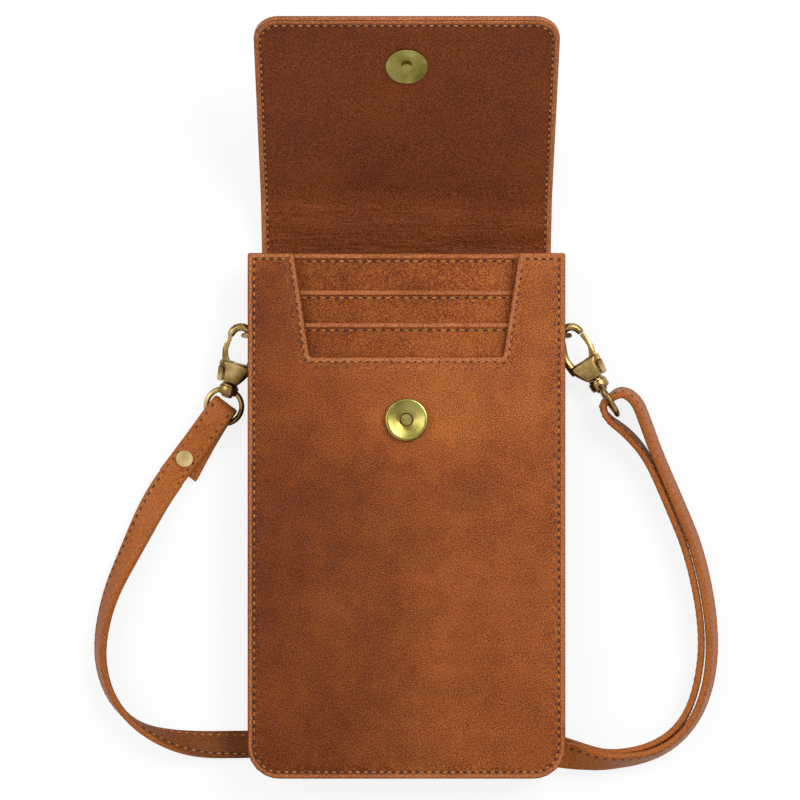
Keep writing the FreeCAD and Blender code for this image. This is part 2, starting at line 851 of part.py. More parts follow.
def with_stud_hole(shape):
    return shape.cut(stud_shank(rivet_shank_radius + fit_play, -overrun, body_depth))


def build():
    nodes = {
        "front_panel": front_panel(),
        "back_panel": back_panel(),
        "gusset": gusset(),
        "back_lining": back_lining(),
        "front_lining": front_lining(),
        "pocket_backing": pocket(0, 0, backing_drop),
        "card_pocket_upper": pocket(1, upper_pocket_top, upper_pocket_depth),
        "card_pocket_lower": pocket(2, lower_pocket_top, lower_pocket_depth),
        "snap_socket_cap": snap_socket_cap(),
        "snap_magnet": snap_magnet(),
        "snap_socket_rivet": snap_socket_rivet(),
        "snap_socket_washer": snap_socket_washer(),
        "fold_outer": place_fold(fold_layer(-flap_thickness, -flap_lining)),
        "fold_lining": fold_lining_piece(),
        "flap_outer": place_flap(flap_layer(-flap_thickness, -flap_lining)),
        "flap_lining": flap_lining_piece(),
        "snap_stud_plate": snap_stud_plate(),
        "snap_stud_washer": snap_stud_washer(),
        "strap": with_stud_hole(strap_run("strap", strap_route)),
        "strap_return": with_stud_hole(strap_run("strap_return", return_route)),
        "strap_end_fold": strap_end_fold(),
        "strap_rivet": strap_rivet(),
        "strap_stud": strap_stud(),
    }
    sides = {
        "left": (-1, left_lean_deg, left_slope_deg, left_side_seat, left_eye_turn_deg),
        "right": (1, right_lean_deg, right_slope_deg, right_side_seat, right_eye_turn_deg),
    }
    for name, (side, lean_deg, slope_deg, side_seat, eye_turn_deg) in sides.items():
        frame = clasp_frame(side, lean_deg, slope_deg, side_seat)
        print(name, "clasp", [[round(c, 5) for c in axis] for axis in frame])
        nodes["d_ring_" + name] = d_ring(side)
        nodes["d_ring_tab_" + name] = d_ring_tab(side)
        nodes["clasp_body_" + name] = set_in_frame(clasp_body(), frame)
        nodes["clasp_gate_" + name] = set_in_frame(clasp_gate(), frame)
        nodes["gate_pin_" + name] = set_in_frame(gate_axis(gate_pin_radius, base_half_thickness), frame)
        nodes["gate_spring_" + name] = set_in_frame(gate_spring(), frame)
        nodes["swivel_pin_" + name] = set_in_frame(swivel_pin(), frame)
        nodes["swivel_eye_" + name] = set_in_frame(swivel_eye(eye_turn_deg), frame)
    return nodes


os.makedirs("parts", exist_ok=True)
for node, shape in build().items():
    print(node, len(shape.Solids), shape.isValid(), round(shape.Volume, 1))
    shape.exportStep("parts/" + node + ".step")
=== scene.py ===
# %% [markdown]
# # A leather phone pouch
# The pouch lies on its back and is seen from straight above: a flat body with a stepped window of card
# pockets, a raised flap, a magnetic snap, and a strap that two swivel clasps hold to the side rings.
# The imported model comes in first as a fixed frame. Everything made here goes where that frame says.

# %% Load the frame
import math
import bmesh
import bpy
from mathutils import Matrix, Vector


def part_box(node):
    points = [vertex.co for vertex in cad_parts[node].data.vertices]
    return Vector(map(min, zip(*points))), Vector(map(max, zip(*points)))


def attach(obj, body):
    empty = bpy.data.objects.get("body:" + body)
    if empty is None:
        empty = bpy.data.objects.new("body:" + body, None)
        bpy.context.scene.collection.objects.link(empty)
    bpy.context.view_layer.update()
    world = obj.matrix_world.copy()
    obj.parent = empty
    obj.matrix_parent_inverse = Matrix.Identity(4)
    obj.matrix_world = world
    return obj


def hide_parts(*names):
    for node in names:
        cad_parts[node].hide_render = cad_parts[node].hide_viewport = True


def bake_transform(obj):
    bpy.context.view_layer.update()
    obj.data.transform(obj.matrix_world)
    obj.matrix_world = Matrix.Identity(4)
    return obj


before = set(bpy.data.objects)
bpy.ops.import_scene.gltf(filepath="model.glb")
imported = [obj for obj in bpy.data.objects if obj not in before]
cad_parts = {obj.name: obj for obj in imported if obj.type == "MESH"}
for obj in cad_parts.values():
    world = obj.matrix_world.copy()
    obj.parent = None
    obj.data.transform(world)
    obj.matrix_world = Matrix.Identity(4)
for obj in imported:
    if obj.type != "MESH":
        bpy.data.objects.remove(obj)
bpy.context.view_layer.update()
MM = 0.001
UP = Vector((0, 0, 1))
SIDES = (("left", -1), ("right", 1))
body_top, body_bottom, body_half, body_depth = 91.0, -91.0, 55.0, 18.0


def add(name, data):
    """New object in the scene."""
    made = bpy.data.objects.new(name, data)
    bpy.context.collection.objects.link(made)
    return made


# %% [markdown]
# ## Camera, floor and light
# The picture looks straight down from a little under a metre, so there is almost no perspective. A plain
# pale floor carries a soft shadow. Large lamps at both sides keep the leather's colour even and still let
# its waxed surface and the brass catch a highlight.

# %% Camera
half_view, camera_drop, view_middle = 138.4, 950, (-2.25, 40.1)
camera_data = bpy.data.cameras.new("camera")
camera_data.sensor_fit = "HORIZONTAL"
camera_data.angle = 2 * math.atan(half_view / camera_drop)
camera_data.clip_start = 0.05
camera = add("camera", camera_data)
camera.location = Vector((*view_middle, body_depth + camera_drop)) * MM
bpy.context.scene.camera = camera
bpy.context.scene.view_settings.view_transform = "Standard"
print("field", round(math.degrees(camera_data.angle), 2), "degrees")


# %% Node helpers
def srgb(red, green, blue):
    """Colour as seen on a screen, 0 to 255, as the linear colour that shaders use."""
    values = [c / 255 for c in (red, green, blue)]
    linear = [c / 12.92 if c <= 0.04045 else ((c + 0.055) / 1.055) ** 2.4 for c in values]
    return (*linear, 1)


def fill(tree, node, inputs):
    """Gives inputs a value or another node's output."""
    for key, value in inputs.items():
        if isinstance(value, bpy.types.NodeSocket):
            tree.links.new(value, node.inputs[key])
        else:
            node.inputs[key].default_value = value
    return node


def put(tree, kind, inputs=None, **settings):
    """New shader node with its settings and inputs."""
    node = tree.nodes.new("ShaderNode" + kind)
    for key, value in settings.items():
        setattr(node, key, value)
    return fill(tree, node, inputs or {})


def new_finish(name):
    material = bpy.data.materials.new(name)
    material.use_nodes = True
    return material, material.node_tree, material.node_tree.nodes["Principled BSDF"]


def grey(value):
    return (value, value, value, 1)


def object_place(tree):
    return put(tree, "TexCoord").outputs["Object"]


def noise(tree, place, scale, detail=2, rough=0.5, **more):
    """Noise from 0 to 1; scale is in waves to a metre."""
    inputs = {"Vector": place, "Scale": scale, "Detail": detail, "Roughness": rough, **more}
    return put(tree, "TexNoise", inputs).outputs["Fac"]


def work(tree, operation, *values):
    """Result of one Math node."""
    return put(tree, "Math", dict(enumerate(values)), operation=operation).outputs[0]


def spread(tree, value, low, high, to_low=0, to_high=1, **settings):
    """A value between low and high, carried over to another range."""
    inputs = {0: value, 1: low, 2: high, 3: to_low, 4: to_high}
    return put(tree, "MapRange", inputs, **settings).outputs[0]


def bumps(tree, height, strength, distance, under=None):
    """Normal bent by a height, on top of the bumps under it."""
    node = put(tree, "Bump", {"Height": height, "Strength": strength, "Distance": distance})
    return fill(tree, node, {"Normal": under} if under else {}).outputs[0]


def ramp(tree, factor, *stops):
    """Colour ramp through (position, colour) stops."""
    node = put(tree, "ValToRGB", {"Fac": factor})
    band = node.color_ramp.elements
    while len(band) < len(stops):
        band.new(0.5)
    for element, (position, colour) in zip(band, stops):
        element.position = position
        element.color = colour
    return node.outputs["Color"]


def mix(tree, factor, first, second, blend="MIX"):
    inputs = {0: factor, 6: first, 7: second}
    return put(tree, "Mix", inputs, data_type="RGBA", blend_type=blend).outputs[2]


# %% Floor and lamps
def seen_straight(tree):
    """1 for the camera's own rays and for those it sends on by a reflection or through a clear thing."""
    rays = put(tree, "LightPath").outputs
    seen = work(tree, "MAXIMUM", rays["Is Camera Ray"], rays["Is Glossy Ray"])
    return work(tree, "MAXIMUM", seen, rays["Is Transmission Ray"])


floor_size, floor_drop, floor_white, sky_strength = 4, 0.0006, 0.85, 0.45
floor_mesh = bpy.data.meshes.new("floor")
bm = bmesh.new()
bmesh.ops.create_grid(bm, x_segments=1, y_segments=1, size=floor_size)
bmesh.ops.translate(bm, verts=bm.verts, vec=(0, 0, -floor_drop))
bm.to_mesh(floor_mesh)
bm.free()
floor = add("floor", floor_mesh)
floor_finish, tree, shader = new_finish("pale_floor")
fill(tree, shader, {"Base Color": grey(0.9), "Roughness": 0.9})
share = work(tree, "MULTIPLY", seen_straight(tree), floor_white)
white = put(tree, "Emission", {"Color": grey(1), "Strength": 1.0})
both = put(tree, "MixShader", {0: share, 1: shader.outputs[0], 2: white.outputs[0]})
fill(tree, tree.nodes["Material Output"], {"Surface": both.outputs[0]})
floor_mesh.materials.append(floor_finish)

world = bpy.data.worlds.new("studio")
bpy.context.scene.world = world
world.use_nodes = True
sky = world.node_tree
lighting = fill(sky, sky.nodes["Background"], {"Color": grey(1), "Strength": sky_strength})
white_sky = put(sky, "Background", {"Color": grey(1), "Strength": 1.0})
both = put(sky, "MixShader", {0: seen_straight(sky), 1: lighting.outputs[0], 2: white_sky.outputs[0]})
fill(sky, sky.nodes["World Output"], {"Surface": both.outputs[0]})


def lamp(name, place, target, size, watts):
    data = bpy.data.lights.new(name, "AREA")
    data.shape = "RECTANGLE"
    data.size, data.size_y = size
    data.energy = watts
    lamp_object = add(name, data)
    lamp_object.location = place
    lamp_object.rotation_euler = (Vector(target) - Vector(place)).to_track_quat("-Z", "Y").to_euler()


lamp("key_lamp", (0.42, 0.38, 0.72), (0, 0.03, 0), (0.4, 0.4), 5.4)
lamp("fill_lamp", (-0.8, 0.3, 0.9), (0, 0.03, 0), (0.6, 0.9), 6)
print("floor and", len(bpy.data.lights), "lamps")

# %% [markdown]
# ## Leather, thread and brass
# The body is oily pull-up leather: a warm brown with pale scratches, cloudy over centimetres, with a fine pebble
# grain. Its rims are paler, partly from wear and partly as a painted sheen. On the body a painted shade darkens
# it to the left and the bottom, and a painted sheen lightens bands across it. Cloud, grain and scratches are
# noise on Object coordinates, so a pattern runs on across pieces that share a hide.


# %% Leather
def paint_shade_and_sheen(tree, place, cloud, colour):
    """Darkens a colour to the left and the bottom as painted shade, and lightens it in bands across as painted sheen.
    """
    axes = put(tree, "SeparateXYZ", {0: place}).outputs
    # Painted shade: darker to the left.
    side = spread(tree, work(tree, "MULTIPLY_ADD", cloud, 0.06, axes["X"]), -0.025, 0.05)
    colour = mix(tree, 1.0, colour, ramp(tree, side, (0, (0.62, 0.5, 0.32, 1)), (1, grey(1))), "MULTIPLY")
    length = work(tree, "MULTIPLY_ADD", noise(tree, place, 20, 3), 0.05, axes["Y"])
    length = spread(tree, length, -0.07, 0.12)
    # Painted sheen: pale bands across.
    bands = ((0.0, 0.5), (0.16, 0.35), (0.32, 0.0), (0.56, 0.1), (0.7, 0.8), (0.82, 0.3), (1.0, 0.3))
    painted_sheen_bands = ramp(tree, length, *((at, grey(much)) for at, much in bands))
    colour = mix(tree, painted_sheen_bands, colour, mix(tree, 1.0, colour, (1.16, 1.22, 1.36, 1), "MULTIPLY"))
    # Painted shade: darker towards the bottom.
    low, middle = (0.84, 0.83, 0.98, 1), (0.91, 0.9, 0.98, 1)
    shade = ramp(tree, length, (0.05, low), (0.5, middle), (0.68, grey(1)))
    return mix(tree, 1.0, colour, shade, "MULTIPLY")


def leather(name, dark, middle, light, grain, rough, scuffs, creased=None, shaded=False):
    """Waxed leather: cloudy, speckled colour, pebble grain, thin scratches, and wrinkles in a band of y if asked;
    shaded adds painted shade and painted sheen.
    """
    material, tree, shader = new_finish(name)
    place = object_place(tree)
    cloud = noise(tree, place, 26, 5, 0.6)
    mottle = noise(tree, place, 150, 6, 0.72)
    speck = noise(tree, place, grain * 1.5, 3, 0.7)
    blotch = mix(tree, 0.75, mix(tree, 0.4, cloud, mottle), speck)
    colour = ramp(tree, blotch, (0.425, dark), (0.5, middle), (0.575, light))
    cells = put(tree, "TexVoronoi", {"Vector": place, "Scale": grain}, feature="DISTANCE_TO_EDGE")
    pebble = cells.outputs["Distance"]
    furrow = ramp(tree, pebble, (0.0, (0.66, 0.62, 0.6, 1)), (0.14, grey(1)))
    colour = mix(tree, 0.5, colour, furrow, "MULTIPLY")
    for turn, patch in ((0.5, 17), (-0.9, 23)):
        drawn = {"Vector": place, "Rotation": (0, 0, turn), "Scale": (10, 150, 10)}
        streak = noise(tree, put(tree, "Mapping", drawn).outputs[0], 7, 5, 0.7)
        scratch = work(tree, "MULTIPLY_ADD", noise(tree, place, patch), 0.35, streak)
        colour = mix(tree, spread(tree, scratch, 0.88, 0.98, 0, scuffs), colour, light)
    # Painted shade and painted sheen, on the body leather only.
    if shaded:
        colour = paint_shade_and_sheen(tree, place, cloud, colour)
    wrinkles = None
    if creased:
        across = put(tree, "Mapping", {"Vector": place, "Scale": (10, 95, 30)})
        wave = noise(tree, across.outputs[0], 4, 3, Distortion=0.6)
        y = put(tree, "SeparateXYZ", {0: place}).outputs["Y"]
        rise = spread(tree, y, creased[0] * MM, creased[1] * MM, 1, 0, interpolation_type="SMOOTHSTEP")
        wrinkles = bumps(tree, work(tree, "MULTIPLY", wave, rise), 0.7, 0.0012)
    sag = bumps(tree, noise(tree, place, 30, 2, 0.4), 0.35, 0.004, wrinkles)
    gloss = spread(tree, mottle, 0.3, 0.7, rough - 0.08, rough + 0.1)
    fine = bumps(tree, work(tree, "ADD", pebble, speck), 0.45, 0.00025, sag)
    fill(tree, shader, {"Base Color": colour, "Roughness": gloss, "Specular IOR Level": 0.14, "Normal": fine})
    return material


def shades(*colours):
    return [srgb(*c) for c in colours]


body_leather = leather("body_leather", *shades((92, 34, 2), (136, 68, 18), (179, 101, 44)), 1600, 0.38, 0.5, None, True)
# Paler rim leather: partly wear, partly a painted sheen on rounded edges.
rim_wear_and_sheen = leather("rim_wear_and_sheen", *shades((128, 64, 26), (160, 92, 50), (188, 120, 78)), 1300, 0.42, 0.3)
strap_leather = leather("strap_leather", *shades((132, 67, 20), (156, 85, 32), (180, 105, 47)), 1600, 0.42, 0.2)
# Darker copy of the strap leather for the strap's back face: painted shade.
strap_back_painted_shade = leather("strap_back_painted_shade", *shades((90, 44, 14), (114, 61, 24), (136, 77, 34)), 1600, 0.55, 0.1)
flap_inside = leather("flap_inside", *shades((80, 33, 11), (108, 50, 20), (134, 70, 34)), 1350, 0.5, 0.1, (101, 122))
cut_edge = leather("cut_edge", *shades((62, 28, 10), (88, 44, 18), (108, 58, 28)), 1800, 0.5, 0.0)
compartment_lining = leather("compartment_lining", *shades((66, 36, 18), (84, 46, 24), (100, 58, 32)), 1600, 0.7, 0.0)
print("leathers:", [m.name for m in bpy.data.materials])


# %% Thread and brass
def matt(name, scale, rough, dark, light):
    """Matt finish in two tones, with its tree, shader and place for bumps."""
    material, tree, shader = new_finish(name)
    place = object_place(tree)
    colour = ramp(tree, noise(tree, place, scale), dark, light)
    fill(tree, shader, {"Base Color": colour, "Roughness": rough})
    return material, tree, shader, place


def aged_brass(name, dark, middle, bright, rough, turned=0.0):
    """Antique brass: soft patches from brown patina to bright brass, partly real patina and partly painted reflection;
    turned gives a lathe's round shine.
    """
    material, tree, shader = new_finish(name)
    place = object_place(tree)
    patina_and_shine = noise(tree, place, 120, 4, 0.5)
    # Dark to bright patches: partly patina, partly painted reflections of a smooth, rounded body.
    colour = ramp(tree, patina_and_shine, (0.36, dark), (0.5, middle), (0.66, bright))
    gloss = spread(tree, patina_and_shine, 0.3, 0.7, rough + 0.1, rough - 0.04)
    fine = bumps(tree, noise(tree, place, 2600, 3), 0.08, 0.0001)
    fill(tree, shader, {"Base Color": colour, "Metallic": 1.0, "Roughness": gloss, "Normal": fine})
    if turned:
        around = put(tree, "Tangent", direction_type="RADIAL", axis="Z").outputs[0]
        fill(tree, shader, {"Anisotropic": turned, "Tangent": around})
    return material


thread, tree, shader, place = matt("mustard_thread", 160, 0.65, (0.35, srgb(140, 82, 28)), (0.65, srgb(184, 120, 52)))
fill(tree, shader, {"Normal": bumps(tree, noise(tree, place, 2600), 0.4, 0.0001)})
# Near-black finish for the blob at each stitch's end: painted shade in the needle hole.
needle_hole_shade = matt("needle_hole_shade", 900, 0.85, (0.3, srgb(30, 14, 6)), (0.7, srgb(48, 24, 10)))[0]
clasp_brass = aged_brass("clasp_brass", *shades((86, 63, 34), (144, 117, 70), (196, 170, 116)), 0.22)
snap_brass = aged_brass("snap_brass", *shades((104, 95, 42), (130, 120, 60), (156, 146, 82)), 0.2, 0.9)
rivet_brass = aged_brass("rivet_brass", *shades((160, 138, 88), (196, 174, 124), (216, 198, 152)), 0.3)
dull_steel = aged_brass("dull_steel", *shades((96, 94, 90), (130, 128, 124), (160, 158, 154)), 0.4)
hardware = {
    clasp_brass: ("clasp_body", "clasp_gate", "gate_pin", "swivel_pin", "swivel_eye", "d_ring_left", "d_ring_right"),
    rivet_brass: ("strap_rivet", "strap_stud"),
    snap_brass: ("snap_socket_cap", "snap_socket_rivet", "snap_stud_plate"),
    dull_steel: ("gate_spring", "snap_socket_washer", "snap_stud_washer", "snap_magnet"),
}
for material, starts in hardware.items():
    for name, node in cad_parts.items():
        if name.startswith(starts) and "tab" not in name:
            node.data.materials.clear()
            node.data.materials.append(material)
print("hardware finishes:", [m.name for m in hardware])

# %% [markdown]
# ## Helpers for sewn leather
# Leather pieces are made in a bmesh and most are then handed to the body that they move with. Stitches are tiny
# flattened balls set along a walked line, each with a dark blob at its end as the needle hole's painted shade.


# %% Piece helpers
def keep(name, bm, body, slot, materials, replaces=(), smooth=40):
    """Turns a bmesh into a finished piece, which rides on a body when one is given."""
    bmesh.ops.recalc_face_normals(bm, faces=bm.faces)
    mesh = bpy.data.meshes.new(name)
    bm.to_mesh(mesh)
    bm.free()
    piece = add(name, mesh)
    for material in materials:
        mesh.materials.append(material)
    mesh.shade_smooth()
    mesh.set_sharp_from_angle(angle=math.radians(smooth))
    if body:
        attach(piece, body)
    if replaces:
        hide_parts(*replaces)
    return piece


def rounded(corners, steps=6):
    """Points in millimetres round an outline of (x, y, radius) corners."""
    points = []
    for i, (x, y, radius) in enumerate(corners):
        here = Vector((x, y))
        before = (Vector(corners[i - 1][:2]) - here).normalized()
        after = (Vector(corners[(i + 1) % len(corners)][:2]) - here).normalized()
        if radius == 0:
            points.append(here)
            continue
        half = before.angle(after) / 2
        start = here + before * (radius / math.tan(half))
        end = here + after * (radius / math.tan(half))
        middle = here + (before + after).normalized() * (radius / math.sin(half))
        for k in range(steps + 1):
            chord = start.lerp(end, k / steps) - middle
            points.append(middle + chord.normalized() * radius)
    return points


def walk(points, pitch, closed=False):
    """Evenly spaced (place, heading) pairs along a line of points, about a pitch apart."""
    line = list(points) + ([points[0]] if closed else [])
    lengths = [(b - a).length for a, b in zip(line, line[1:])]
    total = sum(lengths)
    count = max(1, round(total / pitch))
    found = []
    for k in range(count):
        left = (k + 0.5) * total / count
        for a, b, length in zip(line, line[1:], lengths):
            if left <= length:
                found.append((a.lerp(b, left / length), (b - a).normalized()))
                break
            left -= length
    return found


def heading_at(line, i):
    """Direction of a line of points at one of them."""
    return (line[min(i + 1, len(line) - 1)] - line[max(i - 1, 0)]).normalized()


def turns(count):
    """Angles once round."""
    return [math.tau * k / count for k in range(count)]


def only(geom, kind):
    return [g for g in geom if isinstance(g, kind)]


def stitch_shape():
    """One stitch for a pitch of 1, with a dark blob at its end as the needle hole's painted shade."""
    bm = bmesh.new()
    ball = Matrix.Diagonal((0.27, 0.42, 0.36, 1))
    pit = Matrix.Translation((0.5, 0, 0.02)) @ Matrix.Diagonal((0.25, 0.55, 0.22, 1))
    bmesh.ops.create_uvsphere(bm, u_segments=8, v_segments=5, radius=1, matrix=ball)
    # The pit: painted shade of the needle hole.
    made = bmesh.ops.create_uvsphere(bm, u_segments=6, v_segments=4, radius=1, matrix=pit)
    for face in {f for v in made["verts"] for f in v.link_faces}:
        face.material_index = 1
    mesh = bpy.data.meshes.new("stitch")
    bm.to_mesh(mesh)
    bm.free()
    return mesh


stitch = stitch_shape()


def sew(bm, place, heading, outward, pitch, width=0.75):
    """Adds one stitch, its pitch and width in millimetres."""
    side = outward.cross(heading).normalized()
    turn = Matrix((heading, side, outward)).transposed().to_4x4()
    size = Matrix.Diagonal((pitch * MM, width * MM, width * MM, 1))
    one = stitch.copy()
    one.transform(Matrix.Translation(place) @ turn @ size)
    bm.from_mesh(one)
    bpy.data.meshes.remove(one)


def sew_flat(bm, line, pitch, height, closed=False):
    """Stitches along a level line of points in millimetres."""
    for p, h in walk(line, pitch, closed):
        sew(bm, Vector((p.x, p.y, height)) * MM, h.to_3d(), UP, pitch)


print("helpers ready")

# %% [markdown]
# ## The strap
# One leather strap runs from the rivet at the left clasp, turns on edge, passes under the pouch, stands
# on edge again and goes through the right clasp's ring before it comes back beside itself. Its route is a
# NURBS line near listed points: x, y and the lift of the strap's lowest edge in millimetres, and the
# roll in degrees. A second line carries the roll, so each place knows how far the strap is turned there.

# %% Strap route
strap_width, strap_thick = 9.6, 2.3
strap_rows = [
    (-82.6, 12.7, 2.4, 0), (-87.4, 6.3, 1.8, 10), (-96.6, -12.4, 0.3, 42), (-104.4, -28.8, 0.0, 62),
    (-107.9, -45.6, 0.0, 69), (-106.3, -58.3, 0.0, 72), (-101.3, -68.1, 0.0, 78), (-92.4, -76.0, 0.0, 92),
    (-77.0, -80.8, 0.0, 138), (-59.0, -81.3, 0.0, 178), (-3.0, -79.8, 0.0, 180), (36.0, -80.6, 0.0, 180),
    (52.0, -82.4, 0.0, 182), (62.0, -84.9, 0.0, 212), (71.4, -85.8, 0.0, 238), (85.3, -82.6, 0.0, 250),
    (96.0, -74.9, 0.0, 258), (102.0, -61.4, 0.0, 264), (104.2, -41.9, 0.0, 264), (99.4, -15.5, 0.0, 264),
    (91.4, 4.2, 0.3, 262), (84.6, 20.2, 1.2, 257), (77.4, 28.6, 2.2, 255), (70.2, 33.7, 2.6, 262),
    (68.3, 38.3, 2.6, 270), (71.2, 40.8, 2.6, 272), (75.5, 43.4, 2.6, 284), (80.6, 40.1, 2.4, 290),
    (83.6, 32.6, 1.9, 291), (87.6, 21.5, 1.2, 291), (94.6, 5.7, 0.3, 291), (103.0, -14.3, 0.0, 292),
    (107.9, -41.9, 0.0, 292), (105.8, -62.6, 0.1, 290), (98.4, -76.8, 0.2, 287), (86.5, -84.8, 0.6, 290),
    (71.0, -86.6, 3.0, 302), (62.0, -85.3, 2.6, 328), (53.0, -84.0, 2.5, 358), (38.0, -82.3, 2.5, 360),
]


def smooth_line(points):
    """Points along a NURBS line with these control points."""
    curve = bpy.data.curves.new("route", "CURVE")
    curve.dimensions = "3D"
    curve.resolution_u = 10
    spline = curve.splines.new("NURBS")
    spline.points.add(len(points) - 1)
    for point, place in zip(spline.points, points):
        point.co = (*place, 1)
    spline.order_u = 3
    spline.use_endpoint_u = True
    holder = bpy.data.objects.new("route", curve)
    mesh = bpy.data.meshes.new_from_object(holder)
    found = [v.co.copy() for v in mesh.vertices]
    bpy.data.objects.remove(holder)
    bpy.data.curves.remove(curve)
    bpy.data.meshes.remove(mesh)
    return found


def strap_height(lift, roll):
    """Height of the strap's middle when its lowest edge is at lift."""
    lean = math.radians(roll)
    return lift + strap_width / 2 * abs(math.sin(lean)) + strap_thick / 2 * abs(math.cos(lean))


strap_line = smooth_line([Vector((x, y, strap_height(lift, roll))) * MM for x, y, lift, roll in strap_rows])
strap_rolls = [v.x for v in smooth_line([Vector((math.radians(roll), 0, 0)) for x, y, lift, roll in strap_rows])]
strap_length = sum((b - a).length for a, b in zip(strap_line, strap_line[1:]))
print("strap line", len(strap_line), "points,", round(strap_length, 4), "m")


# %% Strap piece
def strap_frames(line, rolls):
    """Place, heading, width direction and grain direction along the strap."""
    frames = []
    for i, place in enumerate(line):
        heading = heading_at(line, i)
        right = heading.cross(UP).normalized()
        lift = right.cross(heading)
        across = right * math.cos(rolls[i]) - lift * math.sin(rolls[i])
        grain = lift * math.cos(rolls[i]) + right * math.sin(rolls[i])
        frames.append((place, heading, across, grain))
    return frames


def sweep(bm, rings):
    """Skin through rings of points, closed at both ends."""
    loops = []
    for ring in rings:
        verts = [bm.verts.new(p) for p in ring]
        loops.append([bm.edges.new((a, b)) for a, b in zip(verts, verts[1:] + verts[:1])])
    for first, second in zip(loops, loops[1:]):
        bmesh.ops.bridge_loops(bm, edges=first + second)
    for loop in (loops[0], loops[-1]):
        bmesh.ops.contextual_create(bm, geom=loop)


half_wide, half_thick, edge_round = strap_width / 2, strap_thick / 2, 0.7
strap_corners = ((-half_wide, -half_thick), (half_wide, -half_thick), (half_wide, half_thick), (-half_wide, half_thick))
strap_section = rounded([(x, y, edge_round) for x, y in strap_corners], 3)
frames = strap_frames(strap_line, strap_rolls)
bm = bmesh.new()
sweep(bm, [[p + (a * s.x + g * s.y) * MM for s in strap_section] for p, h, a, g in frames])
bm.verts.index_update()
# Faces on the strap's back face take the darker copy: painted shade.
back_face_depth = -3.2 * MM
for face in bm.faces:
    depth = 0
    for v in face.verts:
        place, heading, across, grain = frames[v.index // len(strap_section)]
        depth += grain.dot(v.co - place)
    if len(face.verts) == 4 and depth < back_face_depth:
        face.material_index = 1
strap = keep("strap_run", bm, "pouch", "leather_strap", [strap_leather, strap_back_painted_shade], ("strap", "strap_return"))
print("strap", len(strap.data.polygons), "faces")

# %% [markdown]
# ## The folded strap end
# At the left clasp the strap goes over the ring and back down on itself, and a rivet holds the two
# layers. The strap's section is swept along the side profile of the fold.

# %% Folded end
rivet_low, rivet_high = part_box("strap_rivet")
fold_way = Vector((-0.6, -0.8, 0))
fold_side = UP.cross(fold_way)
rivet_middle = Vector(((rivet_low[0] + rivet_high[0]) / 2, (rivet_low[1] + rivet_high[1]) / 2, 0))
rivet_to_ring, tail_shift, tail_length = 23.0, 3.0, 26
ring_middle = rivet_middle - fold_way * rivet_to_ring * MM
fold_profile = (
    (27.4, 1.15), (22, 1.15), (12, 1.15), (6, 1.15), (1.4, 1.15), (-0.4, 2.6), (-0.4, 5.0), (1.4, 6.4),
    (6, 6.4), (10, 5.8), (14, 4.2), (18, 3.55), (23, 3.55), (27, 3.55), (31.3, 3.55),
)
middle_line = smooth_line([Vector((along, 0, height)) * MM for along, height in fold_profile])
tail_end = len(middle_line) // 3
bm = bmesh.new()
rings = []
for i, place in enumerate(middle_line):
    heading = heading_at(middle_line, i)
    thick = Vector((-heading.z, 0, heading.x))
    tail_drift = tail_shift * min(1, max(0, place.x / MM / tail_length)) ** 1.5 if i < tail_end else 0
    ring = []
    for s in strap_section:
        flat = place + thick * (s.y * MM)
        ring.append(ring_middle + fold_way * flat.x + UP * flat.z + fold_side * ((s.x + tail_drift) * MM))
    rings.append(ring)
sweep(bm, rings)
strap_end = keep("strap_end", bm, "pouch", "leather_strap", [strap_leather], ("strap_end_fold",))
print("folded end", len(strap_end.data.polygons), "faces")

# %% Strap stitches
strap_pitch, strap_seam, strap_thread, thread_sink = 2.9, 3.3, 0.6, 0.08
bm = bmesh.new()


def sew_strap(place, along, across, outward):
    """Stitches at both edges of the strap, on both faces."""
    for side in (-strap_seam, strap_seam):
        for face_side in (1, -1):
            spot = place + (across * side + outward * (face_side * (half_thick - thread_sink))) * MM
            sew(bm, spot, along.normalized(), outward.normalized() * face_side, strap_pitch, strap_thread)


distance = 0
steps = [0]
for a, b in zip(strap_line, strap_line[1:]):
    distance += (b - a).length
    steps.append(distance)
count = round(strap_length / MM / strap_pitch)
for k in range(count):
    goal = (k + 0.5) * strap_length / count
    i = next(n for n in range(1, len(steps)) if steps[n] >= goal)
    share_along = (goal - steps[i - 1]) / (steps[i] - steps[i - 1])
    sew_strap(*(a.lerp(b, share_along) for a, b in zip(frames[i - 1], frames[i])))
for p, h in walk([Vector((m.x, m.z)) / MM for m in middle_line[tail_end:]], strap_pitch):
    along = fold_way * h.x + UP * h.y
    outward = along.cross(fold_side).normalized()
    sew_strap(ring_middle + (fold_way * p.x + UP * p.y) * MM, along, fold_side, outward)
strap_stitches = keep("strap_stitches", bm, "pouch", "leather_strap", [thread, needle_hole_shade])
print("strap stitches", count * 4)

# %% [markdown]
# ## The body
# Front and back are leather boards with rounded, burnished edges. A board is a skin through a stack of
# outlines, each drawn in by an inset and set at its own height. On the front they also press in the line
# that the thread pulls down and let the middle stand a little proud.


# %% Board helper
def drawn_in(corners, inset):
    """The same corners with every side of the outline moved inwards."""
    turn = sum(a[0] * b[1] - b[0] * a[1] for a, b in zip(corners, corners[1:] + corners[:1]))
    way = 1 if turn > 0 else -1
    found = []
    for i, (x, y, radius) in enumerate(corners):
        here = Vector((x, y))
        into = (here - Vector(corners[i - 1][:2])).normalized()
        out = (Vector(corners[(i + 1) % len(corners)][:2]) - here).normalized()
        bend = way * (into.x * out.y - into.y * out.x)
        normals = [Vector((-d.y, d.x)) * way for d in (into, out)]
        shift = (normals[0] + normals[1]) * (inset / (1 + normals[0].dot(normals[1])))
        found.append((*(here + shift), max(0.08, radius - inset if bend > 0 else radius + inset)))
    return found


edge_steps = ((0.4, 0), (0.1, 0.12), (0, 0.4))
seam_half, seam_dip = 0.8, 0.24


